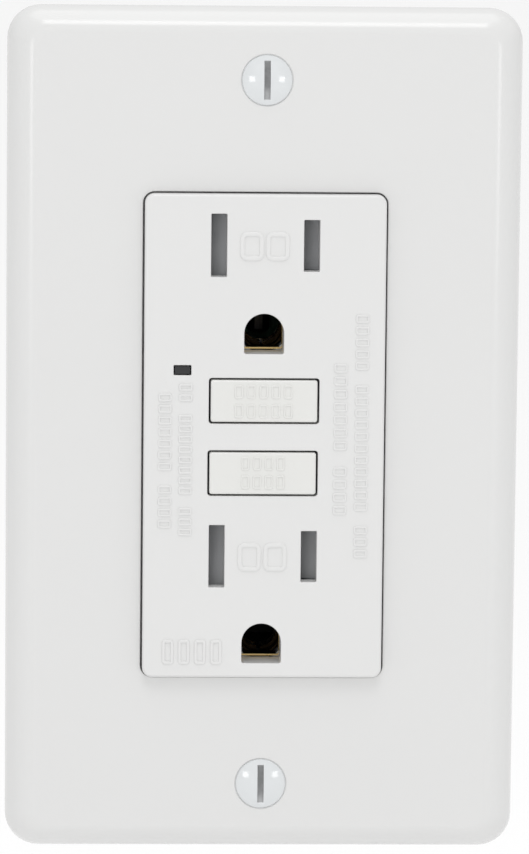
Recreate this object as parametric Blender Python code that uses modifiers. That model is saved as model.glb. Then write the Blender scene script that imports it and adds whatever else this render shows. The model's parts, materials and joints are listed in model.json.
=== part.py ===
"""Ground-fault outlet with its wall plate, as separate pieces that fit and move.

The frame is that of the wall: +Z is up, +X is to the right as the outlet is seen from the
room, and +Y goes into the wall. The origin is the middle of the wall plate, on the wall.
Every size and place below is in millimetres, and the helpers turn them into metres.
"""
import math

import bmesh
import bpy
from mathutils import Matrix, Vector

MM = 0.001

# Wall plate
PLATE_WIDTH = 70.2
PLATE_HEIGHT = 116.0
PLATE_CORNER = 4.6
PLATE_EDGE = 3.6
PLATE_WALL = 2.2
OPENING_WIDTH = 33.3
OPENING_HEIGHT = 66.8
OPENING_CORNER = 1.6
PLATE_SCREW_Z = 48.42
BOX_SCREW_Z = 41.65

# Depths, from the room into the wall
BUTTON_FRONT = -7.5
FACE_FRONT = -7.2
PLATE_FRONT = -5.7
FACE_INNER = -4.7
BUTTON_BACK = -4.2
PLATE_INNER = -3.5
FLANGE_FRONT = -3.2
FLANGE_BACK = -1.6
STRAP_FRONT = -1.3
FRAME_FRONT = 0.3
FRAME_BACK = 8.0
HOUSING_FRONT = 8.3
BOARD_FRONT = 22.6
BOARD_BACK = 24.2
HOUSING_FLOOR = 25.2
HOUSING_BACK = 27.0

# Body
FACE_WIDTH = 32.8
FACE_HEIGHT = 66.4
FACE_CORNER = 1.3
BODY_WIDTH = 42.0
BODY_HEIGHT = 69.0
SKIRT_WALL = 1.6
HOUSING_WALL = 1.8
STRAP_WEB_WIDTH = 27.2
FIXING_X = 16.6
FIXING_Z = 29.9
GAP = 0.3

# Receptacles: a neutral blade on the left, a hot blade on the right, a ground pin below them
BLADE_LINES = {"top": 25.88, "bottom": -16.75}
BLADE_X = 6.35
SLOT_WIDTH = 2.15
NEUTRAL_SLOT_HEIGHT = 8.6
HOT_SLOT_HEIGHT = 6.95
GROUND_DROP = 11.9
GROUND_RADIUS = 2.65
GROUND_FLAT = 2.7

# Buttons and indicator
BUTTON_WIDTH = 14.5
BUTTON_HEIGHT = 5.6
WELL_WIDTH = 15.0
WELL_HEIGHT = 6.1
RESET_Z = 4.75
TEST_Z = -5.25
LIGHT_X = -11.07
LIGHT_Z = 8.82
LIGHT_WIDTH = 2.35
LIGHT_HEIGHT = 1.3
PIPE_X = -11.4

# Shutters
SHUTTER_HALF = 4.5
SHUTTER_FRONT = -4.4
SHUTTER_BACK = -2.4
SHUTTER_RAMP_FOOT = -3.0
SPRING_DROP = 4.15

# Mechanism
ARM_X = 8.4
ARM_WIDTH = 3.6
ARM_FRONT = 11.3
ARM_BACK = 11.9
ARM_PIVOT_Z = -10.9
CONTACT_Z = 9.0
SOLENOID_Y = 15.2
SENSOR_Z = -17.5
LATCH_FRONT = 13.9
LATCH_BACK = 14.5
LEAF_PIVOT_Z = -9.6
LEAF_FRONT = 9.6
LEAF_BACK = 9.9

# Terminals
TERMINAL_Y = 14.75
TERMINAL_Z = {"load": 21.0, "line": -21.0}
TERMINAL_X = 16.7
BRACKET_THICKNESS = 1.0
CLAMP_THICKNESS = 1.2
GROUND_TAB_Z = -41.4
GROUND_TAB_X = -14.0
GROUND_TERMINAL_Y = 5.8

# Colour, roughness and metallic value of each finish
FINISHES = {
    "white_plastic": ((0.80, 0.80, 0.79), 0.28, 0.0),
    "grey_plastic": ((0.15, 0.16, 0.17), 0.45, 0.0),
    "black_plastic": ((0.03, 0.03, 0.03), 0.45, 0.0),
    "clear_plastic": ((0.85, 0.87, 0.88), 0.12, 0.0),
    "white_paint": ((0.80, 0.82, 0.84), 0.22, 0.0),
    "steel": ((0.60, 0.60, 0.58), 0.32, 1.0),
    "spring_steel": ((0.50, 0.50, 0.50), 0.25, 1.0),
    "brass": ((0.78, 0.60, 0.30), 0.28, 1.0),
    "silver_plate": ((0.80, 0.80, 0.80), 0.25, 1.0),
    "green_screw": ((0.04, 0.32, 0.14), 0.32, 0.6),
    "board_green": ((0.02, 0.16, 0.07), 0.50, 0.0),
    "copper": ((0.72, 0.34, 0.17), 0.35, 1.0),
    "orange_disc": ((0.75, 0.30, 0.05), 0.50, 0.0),
}


# ---------------------------------------------------------------------------------------
# Helpers
# ---------------------------------------------------------------------------------------

def clear_scene():
    """Remove whatever objects the scene starts with."""
    for old in list(bpy.data.objects):
        bpy.data.objects.remove(old, do_unlink=True)


def make_collection(name):
    """Return a new collection linked to the scene."""
    collection = bpy.data.collections.new(name)
    bpy.context.scene.collection.children.link(collection)
    return collection


def give_finish(obj, finish):
    """Give an object its own Principled material."""
    colour, roughness, metallic = FINISHES[finish]
    material = bpy.data.materials.new(obj.name)
    material.use_nodes = True
    shader = material.node_tree.nodes["Principled BSDF"]
    shader.inputs["Base Color"].default_value = (*colour, 1.0)
    shader.inputs["Roughness"].default_value = roughness
    shader.inputs["Metallic"].default_value = metallic
    material.diffuse_color = (*colour, 1.0)
    obj.data.materials.clear()
    obj.data.materials.append(material)


def add_object(name, shape, place):
    """Turn a bmesh into an object of the scene; place is in metres."""
    mesh = bpy.data.meshes.new(name)
    shape.to_mesh(mesh)
    shape.free()
    obj = bpy.data.objects.new(name, mesh)
    obj.location = place
    bpy.context.scene.collection.objects.link(obj)
    return obj


def both(half):
    """The span from minus half to plus half."""
    return (-half, half)


def around(middle, half):
    """The span of a given half width about a middle."""
    return (middle - half, middle + half)


def on_side(side, near, far):
    """A span between two distances from the middle, on the right (1) or the left (-1)."""
    return tuple(sorted((side * near, side * far)))


def block(name, x, y, z, radius=0.0, along=1, steps=3):
    """A block that fills three spans; its four edges along one axis can be rounded."""
    spans = (x, y, z)
    size = Vector([high - low for low, high in spans]) * MM
    middle = Vector([(low + high) / 2 for low, high in spans]) * MM
    shape = bmesh.new()
    bmesh.ops.create_cube(shape, size=1.0)
    bmesh.ops.scale(shape, vec=size, verts=shape.verts)
    if radius:
        edges = [e for e in shape.edges if abs((e.verts[0].co - e.verts[1].co)[along]) > size[along] / 2]
        bmesh.ops.bevel(shape, geom=edges, offset=radius * MM, segments=steps, profile=0.5, affect="EDGES")
    return add_object(name, shape, middle)


def turn_to(axis):
    """The rotation that takes +Z to the given axis number, 0 for X, 1 for Y and 2 for Z."""
    if axis == 0:
        return Matrix.Rotation(math.pi / 2, 4, "Y")
    if axis == 1:
        return Matrix.Rotation(-math.pi / 2, 4, "X")
    return Matrix.Identity(4)


def axis_point(axis, centre, distance):
    """The point at a distance along an axis whose other two coordinates are the centre."""
    point = list(centre)
    point.insert(axis, distance)
    return Vector(point) * MM


def rod(name, centre, span, radius, far_radius=None, axis=1, sides=16):
    """A cylinder along an axis, or a cone if it ends in another radius."""
    shape = bmesh.new()
    bmesh.ops.create_cone(
        shape,
        cap_ends=True,
        segments=sides,
        radius1=radius * MM,
        radius2=(radius if far_radius is None else far_radius) * MM,
        depth=(span[1] - span[0]) * MM,
    )
    bmesh.ops.rotate(shape, cent=(0, 0, 0), matrix=turn_to(axis).to_3x3(), verts=shape.verts)
    obj = add_object(name, shape, axis_point(axis, centre, sum(span) / 2))
    smooth(obj)
    return obj


def turned(name, centre, profile, axis=1, away=1, sides=16, closed=False):
    """A turned piece. The profile is (radius, distance along the axis) from far end to near end.

    With away -1 the piece is turned about the axis pointing the other way. A closed profile is a
    ring's section, and an open one starts and ends on the axis.
    """
    shape = bmesh.new()
    points = [shape.verts.new((radius * MM, 0.0, distance * MM)) for radius, distance in profile]
    for first, second in zip(points, points[1:]):
        shape.edges.new((first, second))
    if closed:
        shape.edges.new((points[-1], points[0]))
    obj = add_object(name, shape, axis_point(axis, centre, 0.0))
    flip = Matrix.Rotation(math.pi, 4, "X") if away < 0 else Matrix.Identity(4)
    obj.rotation_euler = (turn_to(axis) @ flip).to_euler()
    screw = obj.modifiers.new("Turn", "SCREW")
    screw.steps = sides
    screw.render_steps = sides
    screw.use_merge_vertices = True
    screw.merge_threshold = 0.01 * MM
    return obj


def smooth(obj, angle=40.0):
    """Shade an object smooth, with its sharp edges kept."""
    obj.data.shade_smooth()
    obj.data.set_sharp_from_angle(angle=math.radians(angle))


def coil(name, centre, span, radius, wire, turns, axis=1, points_per_turn=8):
    """A coil spring: a helix of round wire along an axis."""
    curve = bpy.data.curves.new(name, "CURVE")
    curve.dimensions = "3D"
    curve.bevel_depth = wire * MM
    curve.bevel_resolution = 1
    curve.use_fill_caps = True
    spline = curve.splines.new("POLY")
    count = int(turns * points_per_turn) + 1
    spline.points.add(count - 1)
    low, high = span[0] + wire, span[1] - wire
    for index, point in enumerate(spline.points):
        angle = 2 * math.pi * index / points_per_turn
        height = low + (high - low) * index / (count - 1)
        place = Vector((radius * math.cos(angle), radius * math.sin(angle), height)) * MM
        point.co = (*place, 1.0)
    obj = bpy.data.objects.new(name, curve)
    obj.location = axis_point(axis, centre, 0.0)
    obj.rotation_euler = turn_to(axis).to_euler()
    bpy.context.scene.collection.objects.link(obj)
    return obj


def outline(name, points, span):
    """A flat outline in the XY plane, extruded over a span of Z."""
    curve = bpy.data.curves.new(name, "CURVE")
    curve.dimensions = "2D"
    curve.fill_mode = "BOTH"
    curve.extrude = (span[1] - span[0]) / 2 * MM
    spline = curve.splines.new("POLY")
    spline.points.add(len(points) - 1)
    spline.use_cyclic_u = True
    for point, (x, y) in zip(spline.points, points):
        point.co = (x * MM, y * MM, 0.0, 1.0)
    drawn = bpy.data.objects.new(name + "_outline", curve)
    bpy.context.scene.collection.objects.link(drawn)
    bpy.context.view_layer.update()
    mesh = bpy.data.meshes.new_from_object(drawn.evaluated_get(bpy.context.evaluated_depsgraph_get()))
    bpy.data.objects.remove(drawn, do_unlink=True)
    shape = bmesh.new()
    shape.from_mesh(mesh)
    bmesh.ops.remove_doubles(shape, verts=shape.verts, dist=0.001 * MM)
    return add_object(name, shape, Vector((0.0, 0.0, sum(span) / 2 * MM)))


def combine(target, tool, operation):
    """Add a Boolean with a hidden tool to the target."""
    for collection in list(tool.users_collection):
        collection.objects.unlink(tool)
    bpy.data.collections["cutters"].objects.link(tool)
    tool.hide_render = True
    tool.display_type = "WIRE"
    boolean = target.modifiers.new(tool.name, "BOOLEAN")
    boolean.operation = operation
    boolean.solver = "EXACT"
    boolean.object = tool


def join(target, tool):
    """Unite a tool with the target."""
    combine(target, tool, "UNION")


def cut(target, tool):
    """Cut a tool out of the target."""
    combine(target, tool, "DIFFERENCE")


def put_origin(obj, point):
    """Move an object's origin to a point in millimetres, and leave its shape where it is."""
    place = Vector(point) * MM
    obj.data.transform(Matrix.Translation(obj.location - place))
    obj.location = place


def carry(parent, child):
    """Parent one piece to another that isn't turned, and leave the child where it is."""
    child.parent = parent
    child.matrix_parent_inverse = Matrix.Translation(-parent.location)


# ---------------------------------------------------------------------------------------
# Wall plate and its screws
# ---------------------------------------------------------------------------------------

def rounded_tray(name, half_width, half_height, front, back, corner, edge):
    """A block with round corners whose front edge is rolled over."""
    tray = block(name, both(half_width), (front, back), both(half_height), radius=corner, steps=4)
    shape = bmesh.new()
    shape.from_mesh(tray.data)
    front_y = min(vert.co.y for vert in shape.verts)
    rim = [e for e in shape.edges if all(vert.co.y < front_y + 0.01 * MM for vert in e.verts)]
    bmesh.ops.bevel(shape, geom=rim, offset=edge * MM, segments=4, profile=0.5, affect="EDGES")
    shape.to_mesh(tray.data)
    shape.free()
    return tray


def build_wall_plate():
    """The cover plate: a shallow tray with a window for the outlet and two countersunk holes."""
    plate = rounded_tray(
        "wall_plate", PLATE_WIDTH / 2, PLATE_HEIGHT / 2, PLATE_FRONT, 0.0, PLATE_CORNER, PLATE_EDGE
    )
    hollow = rounded_tray(
        "plate_hollow",
        PLATE_WIDTH / 2 - PLATE_WALL,
        PLATE_HEIGHT / 2 - PLATE_WALL,
        PLATE_INNER,
        1.0,
        PLATE_CORNER - PLATE_WALL,
        PLATE_EDGE - PLATE_WALL,
    )
    cut(plate, hollow)
    window = block(
        "plate_window",
        both(OPENING_WIDTH / 2),
        (PLATE_FRONT - 1, PLATE_INNER + 1),
        both(OPENING_HEIGHT / 2),
        radius=OPENING_CORNER,
    )
    cut(plate, window)
    for name, side in (("top", 1), ("bottom", -1)):
        centre = (0.0, side * PLATE_SCREW_Z)
        cut(plate, rod("plate_hole_" + name, centre, (PLATE_FRONT - 1, PLATE_INNER + 1), 2.0))
        cut(plate, rod("plate_sink_" + name, centre, (PLATE_FRONT - 0.05, -4.2), 3.7, far_radius=1.9))
    give_finish(plate, "white_plastic")
    return plate


def slot_across(name, axis, centre, face, depth, length, width, upright=True):
    """A straight screwdriver slot's cutter across a head whose top is at face."""
    half_long, half_short = length / 2, width / 2
    deep = tuple(sorted((face - math.copysign(1.0, depth), face + depth)))
    if axis == 0:
        return block(name, deep, around(centre[0], half_short), around(centre[1], half_long))
    across, up = (half_short, half_long) if upright else (half_long, half_short)
    return block(name, around(centre[0], across), deep, around(centre[1], up))


def build_plate_screw(name, z):
    """An oval-head screw that holds the plate to the mounting strap, its slot upright."""
    profile = [
        (0.0, 3.0),
        (1.3, 3.0),
        (1.6, 2.6),
        (1.6, -4.35),
        (3.45, -5.55),
        (3.3, -5.85),
        (2.2, -6.2),
        (1.0, -6.38),
        (0.0, -6.42),
    ]
    screw = turned(name, (0.0, z), profile)
    cut(screw, slot_across(name + "_slot", 1, (0.0, z), -6.42, 1.1, 8.0, 1.1))
    give_finish(screw, "white_paint")
    return screw


# ---------------------------------------------------------------------------------------
# Front cover, buttons and indicator
# ---------------------------------------------------------------------------------------

def cut_receptacle(cover, name, blade_line):
    """Cut the two blade slots and the ground hole of one receptacle."""
    depth = (FACE_FRONT - 1, FLANGE_BACK + 1)
    half_slot = SLOT_WIDTH / 2
    neutral = block(
        "neutral_slot_" + name,
        around(-BLADE_X, half_slot),
        depth,
        around(blade_line, NEUTRAL_SLOT_HEIGHT / 2),
    )
    cut(cover, neutral)
    hot = block(
        "hot_slot_" + name, around(BLADE_X, half_slot), depth, around(blade_line, HOT_SLOT_HEIGHT / 2)
    )
    cut(cover, hot)
    ground = blade_line - GROUND_DROP
    cut(cover, rod("ground_round_" + name, (0.0, ground), depth, GROUND_RADIUS, sides=24))
    flat = block(
        "ground_flat_" + name,
        both(GROUND_RADIUS),
        (FACE_FRONT - 1.2, FLANGE_BACK + 1.2),
        (ground - GROUND_FLAT, ground),
    )
    cut(cover, flat)


def build_front_cover():
    """The face, its flange behind the plate, and the skirt that closes over the middle frame."""
    half_width, half_height = BODY_WIDTH / 2, BODY_HEIGHT / 2
    cover = block(
        "front_cover", both(half_width), (FLANGE_FRONT, FRAME_BACK), both(half_height), radius=2.0
    )
    face = block(
        "face",
        both(FACE_WIDTH / 2),
        (FACE_FRONT, FLANGE_FRONT + 0.8),
        both(FACE_HEIGHT / 2),
        radius=FACE_CORNER,
    )
    join(cover, face)
    skirt_hollow = block(
        "skirt_hollow",
        both(half_width - SKIRT_WALL),
        (FLANGE_BACK, FRAME_BACK + 1),
        both(half_height - SKIRT_WALL),
    )
    cut(cover, skirt_hollow)
    face_hollow = block(
        "face_hollow",
        both(FACE_WIDTH / 2 - 2.0),
        (FACE_INNER, FLANGE_BACK + 0.5),
        both(FACE_HEIGHT / 2 - 2.0),
    )
    cut(cover, face_hollow)
    button_guide = block("button_guide", both(8.9), (FACE_INNER - 0.5, -1.9), (-9.4, 9.0))
    join(cover, button_guide)
    for name, blade_line in BLADE_LINES.items():
        collar_span = (FACE_INNER - 0.5, -1.7)
        join(cover, rod("ground_collar_" + name, (0.0, blade_line - GROUND_DROP), collar_span, 3.9))
    for right in (1, -1):
        for up in (1, -1):
            corner = f"{right}_{up}"
            centre = (right * FIXING_X, up * FIXING_Z)
            join(cover, rod("cover_boss" + corner, centre, (FLANGE_BACK - 0.5, FRAME_BACK - 0.3), 2.3))
            cut(cover, rod("cover_boss_hole" + corner, centre, (0.4, FRAME_BACK + 1), 1.5))
    for up in (1, -1):
        notch = block(
            f"strap_notch{up}",
            both(STRAP_WEB_WIDTH / 2 + GAP),
            (FLANGE_BACK, FRAME_BACK + 2),
            on_side(up, half_height - SKIRT_WALL - 0.5, half_height + 1),
        )
        cut(cover, notch)
    for name, blade_line in BLADE_LINES.items():
        cut_receptacle(cover, name, blade_line)
    for name, z in (("reset", RESET_Z), ("test", TEST_Z)):
        well = block(
            name + "_well",
            both(WELL_WIDTH / 2),
            (FACE_FRONT - 1, FLANGE_BACK + 1),
            around(z, WELL_HEIGHT / 2),
            radius=0.4,
        )
        cut(cover, well)
    window = block(
        "light_window",
        around(LIGHT_X, LIGHT_WIDTH / 2 + 0.1),
        (FACE_FRONT - 1, FLANGE_BACK + 1),
        around(LIGHT_Z, LIGHT_HEIGHT / 2 + 0.1),
    )
    cut(cover, window)
    give_finish(cover, "white_plastic")
    return cover


def button_cap(name, z):
    """A push button's rectangular cap with a softened front edge."""
    cap = block(
        name,
        both(BUTTON_WIDTH / 2),
        (BUTTON_FRONT, BUTTON_BACK),
        around(z, BUTTON_HEIGHT / 2),
        radius=0.3,
        steps=2,
    )
    bevel = cap.modifiers.new("Soft edge", "BEVEL")
    bevel.width = 0.35 * MM
    bevel.segments = 2
    bevel.limit_method = "ANGLE"
    bevel.angle_limit = math.radians(60)
    give_finish(cap, "white_plastic")
    return cap


def build_reset_button():
    """The reset button, bored from behind for its steel pin."""
    button = button_cap("reset_button", RESET_Z)
    cut(button, rod("reset_bore", (0.0, RESET_Z), (-6.0, BUTTON_BACK + 1), 1.3))
    return button


def build_reset_pin():
    """The pin that the reset button drives, with the neck that the latch plate catches."""
    profile = [
        (0.0, 16.5),
        (0.7, 16.5),
        (1.2, 15.7),
        (1.2, 14.8),
        (0.8, 14.7),
        (0.8, 13.7),
        (1.0, 13.5),
        (1.0, -5.7),
        (0.0, -5.7),
    ]
    pin = turned("reset_pin", (0.0, RESET_Z), profile, sides=12)
    give_finish(pin, "steel")
    return pin


def build_reset_spring():
    """The spring between the reset button and the middle frame."""
    spring = coil("reset_spring", (0.0, RESET_Z), (BUTTON_BACK + GAP, 1.6), 2.2, 0.25, 5)
    give_finish(spring, "spring_steel")
    return spring


def build_test_button():
    """The test button and the stem that bends the test leaf."""
    button = button_cap("test_button", TEST_Z)
    join(button, rod("test_stem", (0.0, TEST_Z), (BUTTON_BACK - 1, LEAF_FRONT - GAP), 1.0, sides=12))
    return button


def build_light_pipe():
    """The clear rod that carries the indicator light from the board to the face."""
    pipe = block(
        "light_pipe",
        around(LIGHT_X, LIGHT_WIDTH / 2 - 0.1),
        (FACE_FRONT + 0.15, FACE_INNER + 0.4),
        around(LIGHT_Z, LIGHT_HEIGHT / 2 - 0.1),
    )
    join(pipe, rod("pipe_rod", (PIPE_X, LIGHT_Z), (FACE_INNER - 0.6, 20.8), 0.5, sides=12))
    give_finish(pipe, "clear_plastic")
    return pipe


# ---------------------------------------------------------------------------------------
# Mounting strap, grounding and box screws
# ---------------------------------------------------------------------------------------

def build_mounting_strap():
    """The steel strap: web, two plaster ears, windows, holes and the bent ground tab."""
    web_half = STRAP_WEB_WIDTH / 2
    strap = block("mounting_strap", both(web_half), (STRAP_FRONT, 0.0), both(36.5))
    for name, side in (("top", 1), ("bottom", -1)):
        ear = block(
            "ear_" + name, both(16.5), (STRAP_FRONT, 0.0), on_side(side, 35.3, 53.3), radius=3.0
        )
        join(strap, ear)
    tab = block(
        "ground_tab",
        (GROUND_TAB_X - 1.2, GROUND_TAB_X),
        (STRAP_FRONT + 0.3, GROUND_TERMINAL_Y + 4.8),
        around(GROUND_TAB_Z, 4.8),
    )
    join(strap, tab)
    cut(
        strap,
        rod(
            "ground_tab_hole",
            (GROUND_TERMINAL_Y, GROUND_TAB_Z),
            (GROUND_TAB_X - 3, GROUND_TAB_X + 2),
            2.25,
            axis=0,
        ),
    )
    through = (STRAP_FRONT - 1, 1.0)
    for name, blade_line in BLADE_LINES.items():
        blades = block("blade_window_" + name, both(9.0), through, around(blade_line, 5.4), radius=1.0)
        cut(strap, blades)
        cut(strap, rod("ground_window_" + name, (0.0, blade_line - GROUND_DROP), through, 3.4))
    cut(strap, block("button_window", both(8.2), through, (-9.2, 8.6), radius=1.0))
    cut(strap, block("light_hole", around(PIPE_X + 0.1, 1.2), through, around(LIGHT_Z, 1.1)))
    for name, side in (("top", 1), ("bottom", -1)):
        slot = block(
            "box_screw_slot_" + name,
            both(3.75),
            through,
            around(side * BOX_SCREW_Z, 2.1),
            radius=2.0,
        )
        cut(strap, slot)
        cut(strap, rod("plate_screw_thread_" + name, (0.0, side * PLATE_SCREW_Z), through, 1.85))
    give_finish(strap, "steel")
    return strap


def build_box_screw(name, z):
    """The long screw that holds the strap to the wall box."""
    profile = [
        (0.0, 22.0),
        (1.1, 22.0),
        (1.7, 21.2),
        (1.7, -1.6),
        (3.6, -1.6),
        (3.6, -2.5),
        (2.4, -3.1),
        (0.0, -3.25),
    ]
    screw = turned(name, (0.0, z), profile)
    cut(screw, slot_across(name + "_slot", 1, (0.0, z), -3.25, 0.9, 8.0, 1.0, upright=False))
    give_finish(screw, "steel")
    return screw


def build_ground_contact(name, blade_line):
    """The sleeve that grips the ground pin, flanged behind the strap."""
    profile = [(3.1, 8.1), (3.1, 1.0), (4.6, 1.0), (4.6, 0.3), (2.5, 0.3), (2.5, 8.1)]
    contact = turned("ground_contact_" + name, (0.0, blade_line - GROUND_DROP), profile, closed=True)
    give_finish(contact, "brass")
    return contact


# ---------------------------------------------------------------------------------------
# Shutters
# ---------------------------------------------------------------------------------------

def build_shutter(name, blade_line):
    """The sliding shutter: two ramps that the blades push, and a window beside the hot slot."""
    profile = [
        (-8.35, SHUTTER_BACK),
        (8.1, SHUTTER_BACK),
        (8.1, SHUTTER_FRONT),
        (4.6, SHUTTER_RAMP_FOOT),
        (1.0, SHUTTER_RAMP_FOOT),
        (1.0, SHUTTER_FRONT),
        (-4.85, SHUTTER_FRONT),
        (-8.35, SHUTTER_RAMP_FOOT),
    ]
    shutter = outline("shutter_" + name, profile, around(blade_line, SHUTTER_HALF))
    window = block(
        "shutter_window_" + name, (1.6, 4.3), (SHUTTER_FRONT - 1, SHUTTER_BACK + 1), around(blade_line, 3.6)
    )
    cut(shutter, window)
    notch = block(
        "shutter_notch_" + name,
        (-4.0, 9.0),
        (SHUTTER_FRONT - 1, SHUTTER_BACK + 1),
        (blade_line - SHUTTER_HALF - 1, blade_line - SHUTTER_HALF + 0.9),
    )
    cut(shutter, notch)
    give_finish(shutter, "grey_plastic")
    return shutter


def build_shutter_guide(name, blade_line):
    """The tray that a shutter slides in, fixed behind the face."""
    guide = block(
        "shutter_guide_" + name, both(12.6), (SHUTTER_FRONT, -1.7), around(blade_line, 5.2)
    )
    pocket_depth = (SHUTTER_FRONT - 1, SHUTTER_BACK + 0.2)
    pocket = block("guide_pocket_" + name, (-8.7, 11.9), pocket_depth, around(blade_line, 4.75))
    cut(guide, pocket)
    for side in (1, -1):
        passage = block(
            f"guide_passage_{name}{side}",
            around(side * BLADE_X, 1.4),
            (SHUTTER_BACK - 0.5, 0.0),
            around(blade_line, 4.5),
        )
        cut(guide, passage)
    give_finish(guide, "white_plastic")
    return guide


def build_shutter_spring(name, blade_line):
    """The small coil that pushes the shutter back over the slots."""
    centre = (-3.4, blade_line - SPRING_DROP)
    spring = coil(
        "shutter_spring_" + name, centre, (-3.7, 11.6), 0.36, 0.12, 8, axis=0, points_per_turn=6
    )
    give_finish(spring, "spring_steel")
    return spring


# ---------------------------------------------------------------------------------------
# Middle frame, rear housing and the screws that hold the body together
# ---------------------------------------------------------------------------------------

def build_mid_frame():
    """The insulating frame that holds the contacts, with chambers for the blades and pins."""
    frame = block("mid_frame", both(19.1), (FRAME_FRONT, FRAME_BACK), both(26.6))
    ends = block(
        "frame_ends",
        both(STRAP_WEB_WIDTH / 2),
        (FRAME_FRONT + 0.05, FRAME_BACK - 0.05),
        both(BODY_HEIGHT / 2 - 0.1),
    )
    join(frame, ends)
    through = (FRAME_FRONT - 1, FRAME_BACK + 1)
    for name, blade_line in BLADE_LINES.items():
        for side in (1, -1):
            chamber = block(
                f"blade_chamber_{name}{side}",
                on_side(side, 3.6, 9.4),
                through,
                around(blade_line, 5.3),
            )
            cut(frame, chamber)
        centre = (0.0, blade_line - GROUND_DROP)
        cut(frame, rod("ground_chamber_" + name, centre, through, 3.5))
        cut(frame, rod("ground_seat_" + name, centre, (FRAME_FRONT - 1, 1.3), 5.0))
    cut(frame, rod("reset_seat", (0.0, RESET_Z), (FRAME_FRONT - 1, 1.9), 3.0))
    cut(frame, rod("reset_hole", (0.0, RESET_Z), through, 1.4, sides=12))
    cut(frame, rod("test_hole", (0.0, TEST_Z), through, 1.4, sides=12))
    cut(frame, rod("pipe_hole", (PIPE_X, LIGHT_Z), through, 0.9, sides=12))
    give_finish(frame, "grey_plastic")
    return frame


def cut_terminal_recess(housing, side, name, z):
    """Cut one terminal's recess in the housing's side, with its screw, tail and wire holes."""
    tag = f"{name}{side}"
    recess = block(
        "recess_" + tag, on_side(side, 16.4, 22.0), (HOUSING_FRONT - 1, 19.6), around(z, 5.5)
    )
    cut(housing, recess)
    cut(housing, rod("screw_way_" + tag, (TERMINAL_Y, z), on_side(side, 13.0, 17.5), 2.5, axis=0))
    depth = (9.9, 11.3) if name == "load" else (17.3, 18.7)
    tail_way = block(
        "tail_way_" + tag, on_side(side, 13.0, 17.2), depth, around(math.copysign(20.6, z), 2.0)
    )
    cut(housing, tail_way)
    for step in (-3.6, 3.6):
        centre = (side * 18.9, z + step)
        cut(housing, rod(f"wire_hole_{tag}{step}", centre, (18.5, HOUSING_BACK + 1), 1.4, sides=12))


def build_rear_housing():
    """The deep rear shell with corner posts, terminal recesses and wire holes."""
    half_width, half_height = BODY_WIDTH / 2, BODY_HEIGHT / 2
    housing = block(
        "rear_housing", both(half_width), (HOUSING_FRONT, HOUSING_BACK), both(half_height), radius=2.0
    )
    hollow = block(
        "housing_hollow",
        both(half_width - HOUSING_WALL),
        (HOUSING_FRONT - 1, HOUSING_FLOOR),
        both(half_height - HOUSING_WALL),
    )
    cut(housing, hollow)
    solid = (HOUSING_FRONT + 0.3, HOUSING_BACK - 0.6)
    for side in (1, -1):
        for up in (1, -1):
            corner = f"{side}_{up}"
            post = block("post" + corner, on_side(side, 13.4, 19.8), solid, on_side(up, 26.9, 33.3))
            join(housing, post)
        for name, z in TERMINAL_Z.items():
            walls = block(f"recess_walls_{name}{side}", on_side(side, 15.0, 20.1), solid, around(z, 6.9))
            join(housing, walls)
    for side in (1, -1):
        for name, z in TERMINAL_Z.items():
            cut_terminal_recess(housing, side, name, z)
        for up in (1, -1):
            corner = f"{side}_{up}"
            centre = (side * FIXING_X, up * FIXING_Z)
            cut(housing, rod("post_hole" + corner, centre, (HOUSING_FRONT - 1, HOUSING_BACK), 1.5, sides=12))
            cut(housing, rod("counterbore" + corner, centre, (24.6, HOUSING_BACK + 1), 2.7))
    give_finish(housing, "grey_plastic")
    return housing


def build_housing_screw(number, x, z):
    """A long self-tapping screw from the back into the front cover."""
    profile = [
        (0.0, 26.8),
        (1.6, 26.7),
        (2.3, 26.2),
        (2.3, 25.0),
        (1.2, 25.0),
        (1.2, 2.2),
        (0.5, 1.0),
        (0.0, 1.0),
    ]
    screw = turned(f"housing_screw_{number}", (x, z), profile, sides=12)
    long, short = 3.2, 0.7
    for name, width, height in (("a", long, short), ("b", short, long)):
        recess = block(
            f"cross_{number}{name}", around(x, width / 2), (25.7, 28.0), around(z, height / 2)
        )
        cut(screw, recess)
    give_finish(screw, "steel")
    return screw


# ---------------------------------------------------------------------------------------
# Contacts
# ---------------------------------------------------------------------------------------

def build_face_contact(name, side):
    """One stamped strip: jaws for both blades, a fixed contact and a lug for the load terminal."""
    strip = block(name, on_side(side, 2.9, 5.45), (8.4, 9.2), (-20.0, 29.5))
    for receptacle, blade_line in BLADE_LINES.items():
        tag = f"{name}_{receptacle}"
        jaw = (1.2, 9.15)
        tall = (blade_line - 3.3, blade_line + 4.5)
        join(strip, block(tag + "_inner", on_side(side, 4.85, 5.4), jaw, tall))
        join(strip, block(tag + "_outer", on_side(side, 7.25, 7.85), jaw, tall))
        bridge = block(
            tag + "_bridge", on_side(side, 5.0, 7.6), (8.45, 9.1), (blade_line + 3.7, blade_line + 4.4)
        )
        join(strip, bridge)
    join(strip, block(name + "_lug", on_side(side, 3.2, 10.0), (8.45, 9.1), around(CONTACT_Z, 1.6)))
    join(strip, rod(name + "_pad", (side * ARM_X, CONTACT_Z), (8.8, 9.8), 1.4, sides=12))
    join(strip, block(name + "_load_lug", on_side(side, 3.2, 9.0), (8.5, 9.9), (18.9, 22.1)))
    give_finish(strip, "brass")
    return strip


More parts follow.
